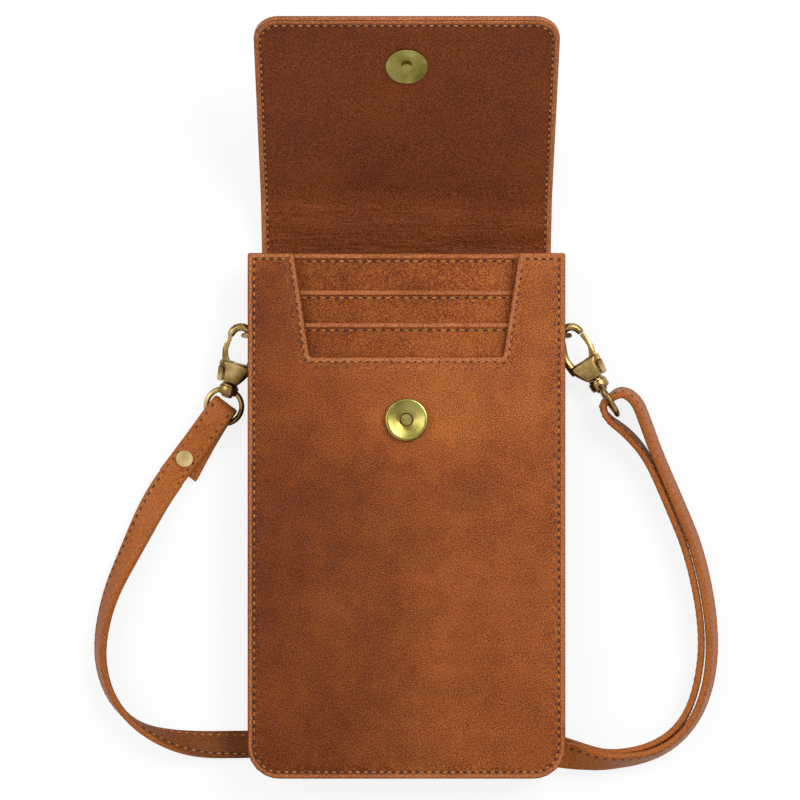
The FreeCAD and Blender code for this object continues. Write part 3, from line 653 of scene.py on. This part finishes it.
def board(corners, low, high, groove=0, puff=0):
    """Closed leather board with rounded edges; groove is the stitch line's inset, 0 for none."""
    levels = [(inset, low + rise) for inset, rise in edge_steps]
    levels += [(inset, high - rise) for inset, rise in reversed(edge_steps)]
    if groove:
        levels += [(groove - seam_half, high), (groove, high - seam_dip), (groove + seam_half, high + puff * 0.1)]
        levels += [(groove + 2.2, high + puff * 0.8), (groove + 4.5, high + puff)]
    bm = bmesh.new()
    sweep(bm, [[Vector((p.x, p.y, z)) * MM for p in rounded(drawn_in(corners, inset))] for inset, z in levels])
    for face in bm.faces:
        middle = face.calc_center_median().z / MM
        face.material_index = 1 if low + 0.2 < middle < high - 0.2 else 0
    # On the front, the rim outside the seam takes slot 2, the paler rim leather: wear and painted sheen.
    if groove:
        edge = {(round(p.x, 2), round(p.y, 2)) for p in rounded(drawn_in(corners, groove - seam_half))}
        for face in bm.faces:
            on_edge = sum((round(v.co.x / MM, 2), round(v.co.y / MM, 2)) in edge for v in face.verts)
            on_top = face.calc_center_median().z > (high - 0.05) * MM
            if face.material_index == 0 and on_edge == 2 and on_top:
                face.material_index = 2
    return bm


print("board helper ready")

# %% Front panel
skin, body_corner, mouth_corner = 1.6, 11, 0.8
window_top, window_foot, window_drop = 39, 33.5, 36
front_seam_inset, front_puff, front_pitch, front_sink = 2.3, 0.35, 2.75, 0.15
front_outline = [
    (-body_half, body_top, mouth_corner), (-body_half, body_bottom, body_corner),
    (body_half, body_bottom, body_corner), (body_half, body_top, mouth_corner),
    (window_top, body_top, 0.8), (window_foot, body_top - window_drop, 1.2),
    (-window_foot, body_top - window_drop, 1.2), (-window_top, body_top, 0.8),
]
bm = board(front_outline, body_depth - skin, body_depth, front_seam_inset, front_puff)
front = keep("front_panel_leather", bm, "pouch", "leather", [body_leather, cut_edge, rim_wear_and_sheen], ("front_panel",))
front_seam = rounded(
    [
        (-52.7, 88.9, 0.5), (-52.7, -88.7, 8.7), (52.7, -88.7, 8.7), (52.7, 88.9, 0.5),
        (40.4, 88.9, 0.5), (34.9, 53.4, 1.6), (-34.9, 53.4, 1.6), (-40.4, 88.9, 0.5),
    ]
)
bm = bmesh.new()
sew_flat(bm, front_seam, front_pitch, body_depth - front_sink, True)
keep("front_stitches", bm, "pouch", "leather", [thread, needle_hole_shade])
print("front panel", len(front.data.polygons), "faces")


# %% Back panel
lift_from, lift_over, lift_most, cut_step = -52, 18, 6.2, 2


def lift_at(y):
    """How far the back is lifted off the floor at y, where the strap passes under it."""
    share_up = min(1, max(0, (lift_from - y) / lift_over))
    return lift_most * share_up * share_up * (3 - 2 * share_up)


def lift_back(bm):
    """Cuts a mesh across where the back bends, and lifts it there."""
    for y in range(lift_from - lift_over - cut_step, lift_from + cut_step + 1, cut_step):
        everything = bm.verts[:] + bm.edges[:] + bm.faces[:]
        bmesh.ops.bisect_plane(bm, geom=everything, plane_co=(0, y * MM, 0), plane_no=(0, 1, 0))
    for v in bm.verts:
        v.co.z += lift_at(v.co.y / MM) * MM


back_top = 91.5
back_outline = [
    (-body_half, back_top, mouth_corner), (-body_half, body_bottom, body_corner),
    (body_half, body_bottom, body_corner), (body_half, back_top, mouth_corner),
]
bm = board(back_outline, 0, skin)
lift_back(bm)
back = keep("back_panel_leather", bm, "pouch", "leather", [body_leather, cut_edge], ("back_panel",))
lining_outline = [(-45.7, 90.8, 0.5), (-45.7, -81.7, 2), (45.7, -81.7, 2), (45.7, 90.8, 0.5)]
back_lining_levels, front_lining_levels = (1.62, 2.5), (11.2, 11.9)
bm = board(lining_outline, *back_lining_levels)
lift_back(bm)
keep("back_inside", bm, "pouch", "lining", [compartment_lining, cut_edge], ("back_lining",))
bm = board(lining_outline, *front_lining_levels)
keep("front_inside", bm, "pouch", "lining", [compartment_lining, cut_edge], ("front_lining",))
print("back panel", len(back.data.polygons), "faces")

# %% [markdown]
# ## The gusset
# A strip of leather folded inwards joins the boards round the sides and the bottom. Its profile is drawn
# at the top of the left side, pulled down that side, spun round each lower corner and pulled up the other.

# %% Gusset
gusset_high, mouth_drop, gusset_skin = 16.2, 0.4, 0.8
bm = bmesh.new()
profile = [
    (0.7, gusset_high), (3.0, 15.7), (6.4, 14.6), (7.6, 12.8), (8.0, 9.4),
    (7.6, 6.0), (6.4, 3.6), (3.0, 2.3), (0.7, 1.8),
]
mouth = body_top - mouth_drop
turn_y = body_bottom + body_corner
turn_x = body_half - body_corner
verts = [bm.verts.new(((inset - body_half) * MM, mouth * MM, z * MM)) for inset, z in profile]
rail = [bm.edges.new(pair) for pair in zip(verts, verts[1:])]


def pull(rail, steps, vec):
    """Carries the row of edges on by a vector in millimetres."""
    for _ in range(steps):
        made = bmesh.ops.extrude_edge_only(bm, edges=rail)["geom"]
        bmesh.ops.translate(bm, verts=only(made, bmesh.types.BMVert), vec=Vector(vec) * (MM / steps))
        rail = only(made, bmesh.types.BMEdge)
    return rail


def turn_corner(rail, x):
    """Spins the row of edges a quarter round a lower corner."""
    made = bmesh.ops.spin(
        bm, geom=rail, cent=(x * MM, turn_y * MM, 0), axis=UP, angle=math.pi / 2, steps=6, use_duplicate=False,
    )
    return only(made["geom_last"], bmesh.types.BMEdge)


rail = pull(rail, 24, (0, turn_y - mouth, 0))
rail = turn_corner(rail, -turn_x)
rail = pull(rail, 4, (2 * turn_x, 0, 0))
rail = turn_corner(rail, turn_x)
pull(rail, 24, (0, mouth - turn_y, 0))
bmesh.ops.remove_doubles(bm, verts=bm.verts, dist=1e-6)
full = gusset_high * MM
for v in bm.verts:
    lifted = lift_at(v.co.y / MM) * MM
    if v.co.z < full:
        v.co.z = lifted + v.co.z * (full - lifted) / full
bmesh.ops.recalc_face_normals(bm, faces=bm.faces)
bmesh.ops.solidify(bm, geom=bm.faces[:], thickness=gusset_skin * MM)
gusset = keep("gusset_leather", bm, "pouch", "leather", [body_leather], ("gusset",))
print("gusset", len(gusset.data.polygons), "faces")

# %% [markdown]
# ## Card pockets
# Behind the window three layers step down, each with a turned, stitched edge. Each layer is a side
# profile with a rolled top, pulled across the pouch.


# %% Pockets
pocket_half, sheet, roll_high, pocket_pitch = 44.8, 1.1, 1.65, 3.2


def pocket(name, node, low, top, depth):
    """Pocket layer with a rolled upper edge, its lower side at low and its edge at top."""
    side = rounded(
        [
            (top - depth, low, 0.1), (top, low, 0.4), (top, low + roll_high, 0.7), (top - 1.6, low + roll_high, 0.7),
            (top - 2.0, low + sheet, 0.25), (top - depth, low + sheet, 0.1),
        ],
        4,
    )
    bm = bmesh.new()
    face = bm.faces.new([bm.verts.new(Vector((-pocket_half, p.x, p.y)) * MM) for p in side])
    made = bmesh.ops.extrude_face_region(bm, geom=[face])["geom"]
    bmesh.ops.translate(bm, verts=only(made, bmesh.types.BMVert), vec=(2 * pocket_half * MM, 0, 0))
    # The rolled top edge takes the paler rim leather: a painted sheen, with some wear.
    for f in bm.faces:
        f.material_index = 1 if f.calc_center_median().y > (top - 1.5) * MM else 0
    return keep(name, bm, "pouch", "leather", [body_leather, rim_wear_and_sheen], (node,))


pocket_rows = (
    ("backing", "pocket_backing", 12.0, body_top - 0.05, 75.0),
    ("upper_pocket", "card_pocket_upper", 13.2, body_top - 12.8, 50.0),
    ("lower_pocket", "card_pocket_lower", 14.4, body_top - 24.1, 50.0),
)
bm = bmesh.new()
for name, node, low, top, depth in pocket_rows:
    pocket(name, node, low, top, depth)
    sew_flat(bm, [Vector((x, top - 2.6)) for x in (-37, 37)], pocket_pitch, low + sheet + 0.06)
keep("pocket_stitches", bm, "pouch", "leather", [thread, needle_hole_shade])
print("pockets", len(pocket_rows))

# %% [markdown]
# ## The flap
# The flap is the back's leather carried on: it bends up behind the mouth, runs across the pouch's depth and
# bends again where it comes down over the front. One layer of leather outside and one of lining inside are
# grids laid along the same bent line. Each layer is in two pieces, one for each crease.

# %% Flap line
crease_y, crease_z, strip_length, flap_length = 92.0, 2.6, 19.1, 77.0
flap_end, flap_half, flap_corner = strip_length + flap_length, 50.75, 8.3
lining_thick, flap_thick = 1.0, 2.6
rest_lean = math.radians(22)
first_crease = Vector((crease_y, crease_z))
second_crease = first_crease + Vector((math.cos(rest_lean), math.sin(rest_lean))) * strip_length


def flap_line(s):
    """Place and heading in the side view at a distance s along the flap's inner face from the first crease."""
    flat, strip, flap = (Vector((math.cos(k * rest_lean), math.sin(k * rest_lean))) for k in (0, 1, 2))
    creases = ((0, first_crease, flat, strip, 3.0), (strip_length, second_crease, strip, flap, 4.0))
    for middle, corner, before, after, reach in creases:
        if abs(s - middle) < reach:
            t = (s - middle + reach) / (2 * reach)
            a, b = corner - before * reach, corner + after * reach
            place = a * (1 - t) ** 2 + corner * (2 * t * (1 - t)) + b * t ** 2
            return place, before.lerp(after, t).normalized()
    if s < 0:
        return first_crease + flat * s, flat
    if s < strip_length:
        return first_crease + strip * s, strip
    return second_crease + flap * (s - strip_length), flap


def flap_half_width(s):
    """Half the flap's width, drawn in round its end corners."""
    into = s - (flap_end - flap_corner)
    return flap_half - flap_corner + math.sqrt(max(0, flap_corner ** 2 - max(0, into) ** 2))


def flap_rows(start, end):
    """Distances for the grid's rows, close together at the rounded end."""
    rows = [start + (end - start) * k / 40 for k in range(41)]
    if end > flap_end - 1:
        rows = [r for r in rows if r < end - flap_corner - 0.1]
        rows += [end - flap_corner * (1 - math.sin(math.radians(a))) for a in range(0, 91, 10)]
    return rows


def flap_point(s, depth):
    """Place in the side view at a depth under the flap's inner face."""
    place, heading = flap_line(s)
    return place + Vector((heading.y, -heading.x)) * depth


def flap_layer(name, start, end, inner, outer, material, slot, node):
    """Sheet between two depths under the flap's inner face."""
    rows = flap_rows(start, end)
    bm = bmesh.new()
    bmesh.ops.create_grid(bm, x_segments=24, y_segments=len(rows) - 1, size=0.5)
    for v in bm.verts:
        s = rows[round((v.co.y + 0.5) * (len(rows) - 1))]
        at = flap_point(s, inner)
        v.co = Vector((v.co.x * 2 * flap_half_width(s), at.x, at.y)) * MM
    bmesh.ops.recalc_face_normals(bm, faces=bm.faces)
    inner_faces = bm.faces[:]
    made = bmesh.ops.extrude_face_region(bm, geom=inner_faces)["geom"]
    for v in only(made, bmesh.types.BMVert):
        here = Vector((v.co.y / MM, v.co.z / MM))
        heading = flap_line(min(rows, key=lambda r: (here - flap_point(r, inner)).length))[1]
        v.co += Vector((0, heading.y, -heading.x)) * ((outer - inner) * MM)
    sheets = set(inner_faces) | set(only(made, bmesh.types.BMFace))
    for f in bm.faces:
        f.material_index = 0 if f in sheets else 1
    return keep(name, bm, None, slot, [material, cut_edge], (node,), 50)


half_strip = strip_length / 2
outside, inside = (lining_thick, flap_thick, body_leather, "leather"), (0.0, lining_thick, flap_inside, "lining")
crease_skin = [
    flap_layer("crease_leather", -0.5, half_strip, *outside, "fold_outer"),
    flap_layer("crease_lining", -0.5, half_strip, *inside, "fold_lining"),
]
flap_skin = [
    flap_layer("flap_leather", half_strip, flap_end, *outside, "flap_outer"),
    flap_layer("flap_lining_sheet", half_strip, flap_end, *inside, "flap_lining"),
]
print("flap pieces", [p.name for p in crease_skin + flap_skin])

# %% Flap rim
rim_inset, rim_corner, rim_wide, rim_thick = 0.9, 7.4, 1.0, 1.52


def squarish(value):
    return math.copysign(abs(value) ** 0.6, value)


# The bead is in the paler rim leather: wear and painted sheen.
def flap_rim(name, points):
    """The outer leather turned in round the flap's edge, as a rounded bead over both layers."""
    bm = bmesh.new()
    rings = []
    for i, p in enumerate(points):
        h = heading_at(points, i)
        place, heading = flap_line(p.y)
        inward = Vector((0, -heading.y, heading.x))
        across = inward.cross(Vector((h.x, h.y * heading.x, h.y * heading.y)))
        middle = Vector((p.x, place.x, place.y)) - inward * (flap_thick / 2)
        bead = [(rim_wide * squarish(math.cos(a)), rim_thick * squarish(math.sin(a))) for a in turns(14)]
        rings.append([(middle + across * x + inward * y) * MM for x, y in bead])
    sweep(bm, rings)
    return keep(name, bm, None, "leather", [rim_wear_and_sheen], (), 60)


rim_end, rim_side = flap_end - rim_inset, flap_half - rim_inset
side_stop = rim_end - 7.6
sides = [half_strip + (side_stop - half_strip) * k / 40 for k in range(41)]
bend = [math.radians(d) for d in range(6, 91, 6)]
turn_side, turn_end = rim_side - rim_corner, rim_end - rim_corner
rim_line = [Vector((-rim_side, s)) for s in sides]
rim_line += [Vector((-turn_side - rim_corner * math.cos(a), turn_end + rim_corner * math.sin(a))) for a in bend]
rim_line += [Vector((x * turn_side / 8, rim_end)) for x in range(-7, 8)]
rim_line += [Vector((-p.x, p.y)) for p in reversed(rim_line[: len(sides) + len(bend)])]
flap_skin.append(flap_rim("flap_rim", rim_line))
for side_name, side in SIDES:
    lower = [Vector((side * rim_side, -0.4 + (half_strip + 0.4) * k / 24)) for k in range(25)]
    crease_skin.append(flap_rim("crease_rim_" + side_name, lower))
print("flap rim", len(rim_line), "stations")

# %% Flap stitches
flap_pitch, seam_side, seam_end, seam_corner = 2.7, 48.65, flap_end - 2.1, 6.4
bm_crease, bm_flap = bmesh.new(), bmesh.new()
seam = rounded(
    [(-seam_side, 0.6, 0), (-seam_side, seam_end, seam_corner), (seam_side, seam_end, seam_corner), (seam_side, 0.6, 0)]
)
for p, h in walk(seam, flap_pitch):
    place, heading = flap_line(p.y)
    along = Vector((h.x, h.y * heading.x, h.y * heading.y)).normalized()
    inward = Vector((0, -heading.y, heading.x))
    target = bm_crease if p.y < half_strip else bm_flap
    for outward, depth in ((inward, 0), (-inward, flap_thick - 0.1)):
        spot = (Vector((p.x, place.x, place.y)) - inward * depth) * MM
        sew(target, spot, along, outward, flap_pitch)
crease_stitches = keep("crease_stitches", bm_crease, None, "lining", [thread, needle_hole_shade])
flap_stitches = keep("flap_stitches", bm_flap, None, "lining", [thread, needle_hole_shade])


for piece in crease_skin + [crease_stitches]:
    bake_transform(piece)
for piece in flap_skin + [flap_stitches]:
    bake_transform(piece)
print("flap seam sewn")


# %% [markdown]
# ## Ring tabs
# A short leather tab lies in the gusset's groove on each side and is folded round the bar of its D-ring.

# %% Tabs
ring_bar, mid_z = 49.3, body_depth / 2
tab_half, tab_wide, tab_bend, tab_length = 0.57, 3.1, 1.58, 18
for side_name, side in SIDES:
    low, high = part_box("d_ring_" + side_name)
    bar_y = (low[1] + high[1]) / 2 / MM
    bar = Vector((ring_bar, bar_y))
    loop = [Vector((47.75, bar_y - back)) for back in (tab_length, 6, 1.5)]
    bends = [math.radians(d) for d in range(0, 200, 20)]
    loop += [bar + Vector((-math.cos(a), math.sin(a))) * tab_bend for a in bends]
    loop += [bar + Vector((0.6, -2.2)), Vector((48.98, bar_y - 6)), Vector((48.95, bar_y - tab_length))]
    bm = bmesh.new()
    rings = []
    for i, p in enumerate(loop):
        h = heading_at(loop, i)
        ring = []
        for across, up in ((-tab_half, -tab_wide), (tab_half, -tab_wide), (tab_half, tab_wide), (-tab_half, tab_wide)):
            at = p + Vector((-h.y, h.x)) * across
            ring.append(Vector((side * at.x, at.y, mid_z + up)) * MM)
        rings.append(ring)
    sweep(bm, rings)
    keep("ring_tab_" + side_name, bm, "pouch", "leather", [body_leather], ("d_ring_tab_" + side_name,))
print("ring tabs made")

# %% [markdown]
# ## Brass fittings
# The rings are bent from round wire, the collars are turned, and the hooks are cast. Wire is a round
# section swept along its line. A turned piece is half a profile spun about its axis. The cast body is a
# row of rounded sections that swell from the collar to the fork, with the gate's slot cut out.

# %% Snap cap
def lathe(bm, points, centre, axis, steps, closed=False):
    """Spins a profile of points in millimetres once round an axis."""
    verts = [bm.verts.new(Vector(p) * MM) for p in points]
    edges = [bm.edges.new(pair) for pair in zip(verts, verts[1:] + (verts[:1] if closed else []))]
    middle = Vector(centre) * MM
    bmesh.ops.spin(bm, geom=verts + edges, cent=middle, axis=axis, angle=math.tau, steps=steps, use_merge=True)
    bmesh.ops.remove_doubles(bm, verts=bm.verts, dist=1e-6)


snap_y = 33.3
cap_profile = [
    (2.4, 18.95), (2.4, 19.5), (2.55, 19.62), (4.2, 20.0), (6.2, 20.5), (6.5, 20.6), (6.95, 20.58), (7.2, 20.45),
    (7.33, 20.2), (7.35, 19.0), (7.3, 18.0),
]
bm = bmesh.new()
lathe(bm, [(r, snap_y, z) for r, z in cap_profile], (0, snap_y, 0), UP, 72)
snap_cap = keep("snap_cap", bm, "pouch", "antique_brass", [snap_brass], ("snap_socket_cap",), 30)
print("snap cap", len(snap_cap.data.polygons), "faces")


# %% Rings and collars
def wire_ring(bm, line, radius, sides=12):
    """Closed ring of round wire along a flat closed line of points in millimetres."""
    flat = (line[1] - line[0]).cross(line[len(line) // 3] - line[0]).normalized()
    loops = []
    for i, p in enumerate(line):
        heading = (line[(i + 1) % len(line)] - line[i - 1]).normalized()
        across = heading.cross(flat)
        ring = [p + (across * math.cos(a) + flat * math.sin(a)) * radius for a in turns(sides)]
        verts = [bm.verts.new(q * MM) for q in ring]
        loops.append([bm.edges.new(pair) for pair in zip(verts, verts[1:] + verts[:1])])
    for first, second in zip(loops, loops[1:] + loops[:1]):
        bmesh.ops.bridge_loops(bm, edges=first + second)


brass = ("antique_brass", [clasp_brass])
ring_reach, ring_y, ring_wire = 57.0, 62.6, 0.9
hook_seat = 19.45
clasp_lies = {"left": (-1, 15.6, 10.0, 0.1), "right": (1, 32.0, 3.5, -0.3)}


def clasp_place(side_name):
    """Matrix from a clasp's own along, gate side and third directions to the pouch's frame.

    A clasp hangs in its side ring. It leans from +Y towards the pouch, slopes up to the hook, and sits a
    little to one side of the ring's middle.
    """
    side, lean, slope, aside = clasp_lies[side_name]
    lean, slope = math.radians(lean), math.radians(slope)
    heading = Vector((-side * math.sin(lean), math.cos(lean), 0))
    along = heading * math.cos(slope) + UP * math.sin(slope)
    gate_side = Vector((side * math.cos(lean), math.sin(lean), 0))
    origin = Vector((side * ring_reach, ring_y, mid_z)) - along * hook_seat + gate_side * aside
    turn = Matrix((along, gate_side, along.cross(gate_side))).transposed().to_4x4()
    return Matrix.Translation(origin * MM) @ turn


collar_profile = [
    (-2.2, 1.3), (-2.2, 2.75), (-2.1, 3.05), (-1.8, 3.3), (-1.3, 3.42), (0.5, 3.42), (0.85, 3.32), (1.02, 3.08),
    (1.14, 2.85), (1.3, 2.78), (1.55, 2.78), (1.75, 2.6), (1.75, 1.3),
]
ring_half, bar_corner, bow_corner = 4.8, 1.6, 4.79
eye_middle, eye_radius, eye_wire = -6.6, 6.25, 0.95
ring_corners = [
    (ring_bar, -ring_half, bar_corner), (ring_bar, ring_half, bar_corner),
    (ring_reach, ring_half, bow_corner), (ring_reach, -ring_half, bow_corner),
]
for side_name, side in SIDES:
    bm = bmesh.new()
    wire_ring(bm, [Vector((side * p.x, ring_y, mid_z + p.y)) for p in rounded(ring_corners, 10)], ring_wire)
    ring_node = "d_ring_" + side_name
    keep("side_ring_" + side_name, bm, ring_node, *brass, (ring_node,), 60)
    bm = bmesh.new()
    circle = [Vector((eye_middle + eye_radius * math.cos(a), eye_radius * math.sin(a), 0)) for a in turns(48)]
    wire_ring(bm, circle, eye_wire)
    if side_name == "right":
        bmesh.ops.rotate(bm, verts=bm.verts, cent=(0, 0, 0), matrix=Matrix.Rotation(math.pi / 2, 3, "X"))
    lathe(bm, [(u, r, 0) for u, r in collar_profile], (0, 0, 0), (1, 0, 0), 40, True)
    bmesh.ops.transform(bm, matrix=clasp_place(side_name), verts=bm.verts)
    keep("collar_ring_" + side_name, bm, "pouch", *brass, ("swivel_eye_" + side_name,), 35)
print("rings and collars made")


# %% Clasp bodies
def carve(bm, low, high):
    """Cuts a box, given in millimetres, out of a closed mesh."""
    bmesh.ops.recalc_face_normals(bm, faces=bm.faces)
    box = bmesh.new()
    bmesh.ops.create_cube(box, size=1)
    bmesh.ops.scale(box, vec=(Vector(high) - Vector(low)) * MM, verts=box.verts)
    bmesh.ops.translate(box, vec=(Vector(high) + Vector(low)) * (MM / 2), verts=box.verts)
    meshes = [bpy.data.meshes.new(name) for name in ("blank", "slot")]
    bm.to_mesh(meshes[0])
    box.to_mesh(meshes[1])
    box.free()
    blank, cutter = (add(mesh.name, mesh) for mesh in meshes)
    slot = blank.modifiers.new("slot", "BOOLEAN")
    slot.operation, slot.solver, slot.object = "DIFFERENCE", "EXACT", cutter
    meshes.append(bpy.data.meshes.new_from_object(blank.evaluated_get(bpy.context.evaluated_depsgraph_get())))
    bm.clear()
    bm.from_mesh(meshes[2])
    for piece in (blank, cutter):
        bpy.data.objects.remove(piece)
    for mesh in meshes:
        bpy.data.meshes.remove(mesh)


# Along the clasp: edge on the hook's side, edge on the gate's side, half the thickness
body_sections = (
    (1.95, -2.6, 2.35, 1.75), (2.4, -3.2, 2.7, 2.15), (4.0, -4.3, 2.85, 2.35), (6.0, -5.45, 3.1, 2.4),
    (7.6, -6.15, 3.5, 2.35), (8.6, -6.5, 4.1, 2.2), (9.2, -6.6, 4.3, 1.9), (9.5, -6.5, 4.2, 1.5),
)
# Along the clasp, to the side, radius there
hook_line = (
    (7.0, -4.6, 1.85), (8.5, -5.05, 1.7), (10.0, -5.35, 1.5), (12.0, -5.5, 1.38), (14.0, -5.1, 1.34),
    (16.0, -4.4, 1.34), (17.6, -3.75, 1.34), (19.0, -3.3, 1.36), (20.2, -2.85, 1.38), (21.2, -2.1, 1.4),
    (22.0, -0.9, 1.42), (22.3, 0.5, 1.42), (22.1, 1.75, 1.42), (21.4, 2.9, 1.4), (20.3, 3.7, 1.34),
    (19.1, 4.1, 1.28), (18.35, 4.2, 1.15), (18.05, 4.2, 0.95),
)
gate_outline = [
    (17.75, 3.3, 0.4), (17.75, 5.05, 0.5), (15.5, 5.5, 4), (13.0, 5.7, 4), (10.8, 5.2, 2.5), (9.3, 4.7, 1.0),
    (8.9, 5.5, 0.5), (2.2, 4.8, 0.7), (2.2, 2.85, 0.4), (6.3, 3.22, 0.4), (6.5, 2.5, 0.5), (7.6, 1.4, 0.8),
    (9.4, 1.9, 1.2), (11.0, 3.0, 2.5), (13.2, 3.75, 4), (15.5, 3.6, 4),
]
lever_outline = [(7.2, 3.7, 0.4), (7.3, 5.5, 0.6), (2.1, 4.9, 0.6), (2.1, 2.78, 0.4), (6.4, 3.24, 1.0)]
gate_levels = ((0.35, -0.95), (0.1, -0.8), (0, -0.5), (0, 0.5), (0.1, 0.8), (0.35, 0.95))
slot_low, slot_high = (5.0, 0.6, -1.05), (10.5, 5.5, 1.05)
for side_name in clasp_lies:
    bm = bmesh.new()
    rings = []
    for u, hook_edge, gate_edge, thick in body_sections:
        corners = ((hook_edge, -thick), (gate_edge, -thick), (gate_edge, thick), (hook_edge, thick))
        rings.append([Vector((u, s.x, s.y)) * MM for s in rounded([(x, y, thick * 0.62) for x, y in corners], 5)])
    sweep(bm, rings)
    carve(bm, slot_low, slot_high)
    hook = [Vector((u, v, 0)) for u, v, radius in hook_line]
    rings = []
    for i, (u, v, radius) in enumerate(hook_line):
        heading = heading_at(hook, i)
        across = Vector((-heading.y, heading.x, 0))
        rings.append([(hook[i] + (across * math.cos(a) + UP * math.sin(a)) * radius) * MM for a in turns(14)])
    sweep(bm, rings)
    place = clasp_place(side_name)
    bmesh.ops.transform(bm, matrix=place, verts=bm.verts)
    body_node, gate_node = "clasp_body_" + side_name, "clasp_gate_" + side_name
    keep("hook_body_" + side_name, bm, "clasp_" + side_name, *brass, (body_node,), 50)
    bm = bmesh.new()
    for outline, thicker in ((gate_outline, 1.0), (lever_outline, 1.75)):
        layers = [(rounded(drawn_in(outline, inset), 4), w * thicker) for inset, w in gate_levels]
        sweep(bm, [[Vector((p.x, p.y, w)) * MM for p in points] for points, w in layers])
    bmesh.ops.transform(bm, matrix=place, verts=bm.verts)
    keep("hook_gate_" + side_name, bm, "gate_" + side_name, *brass, (gate_node,), 40)
print("clasp bodies and gates made")
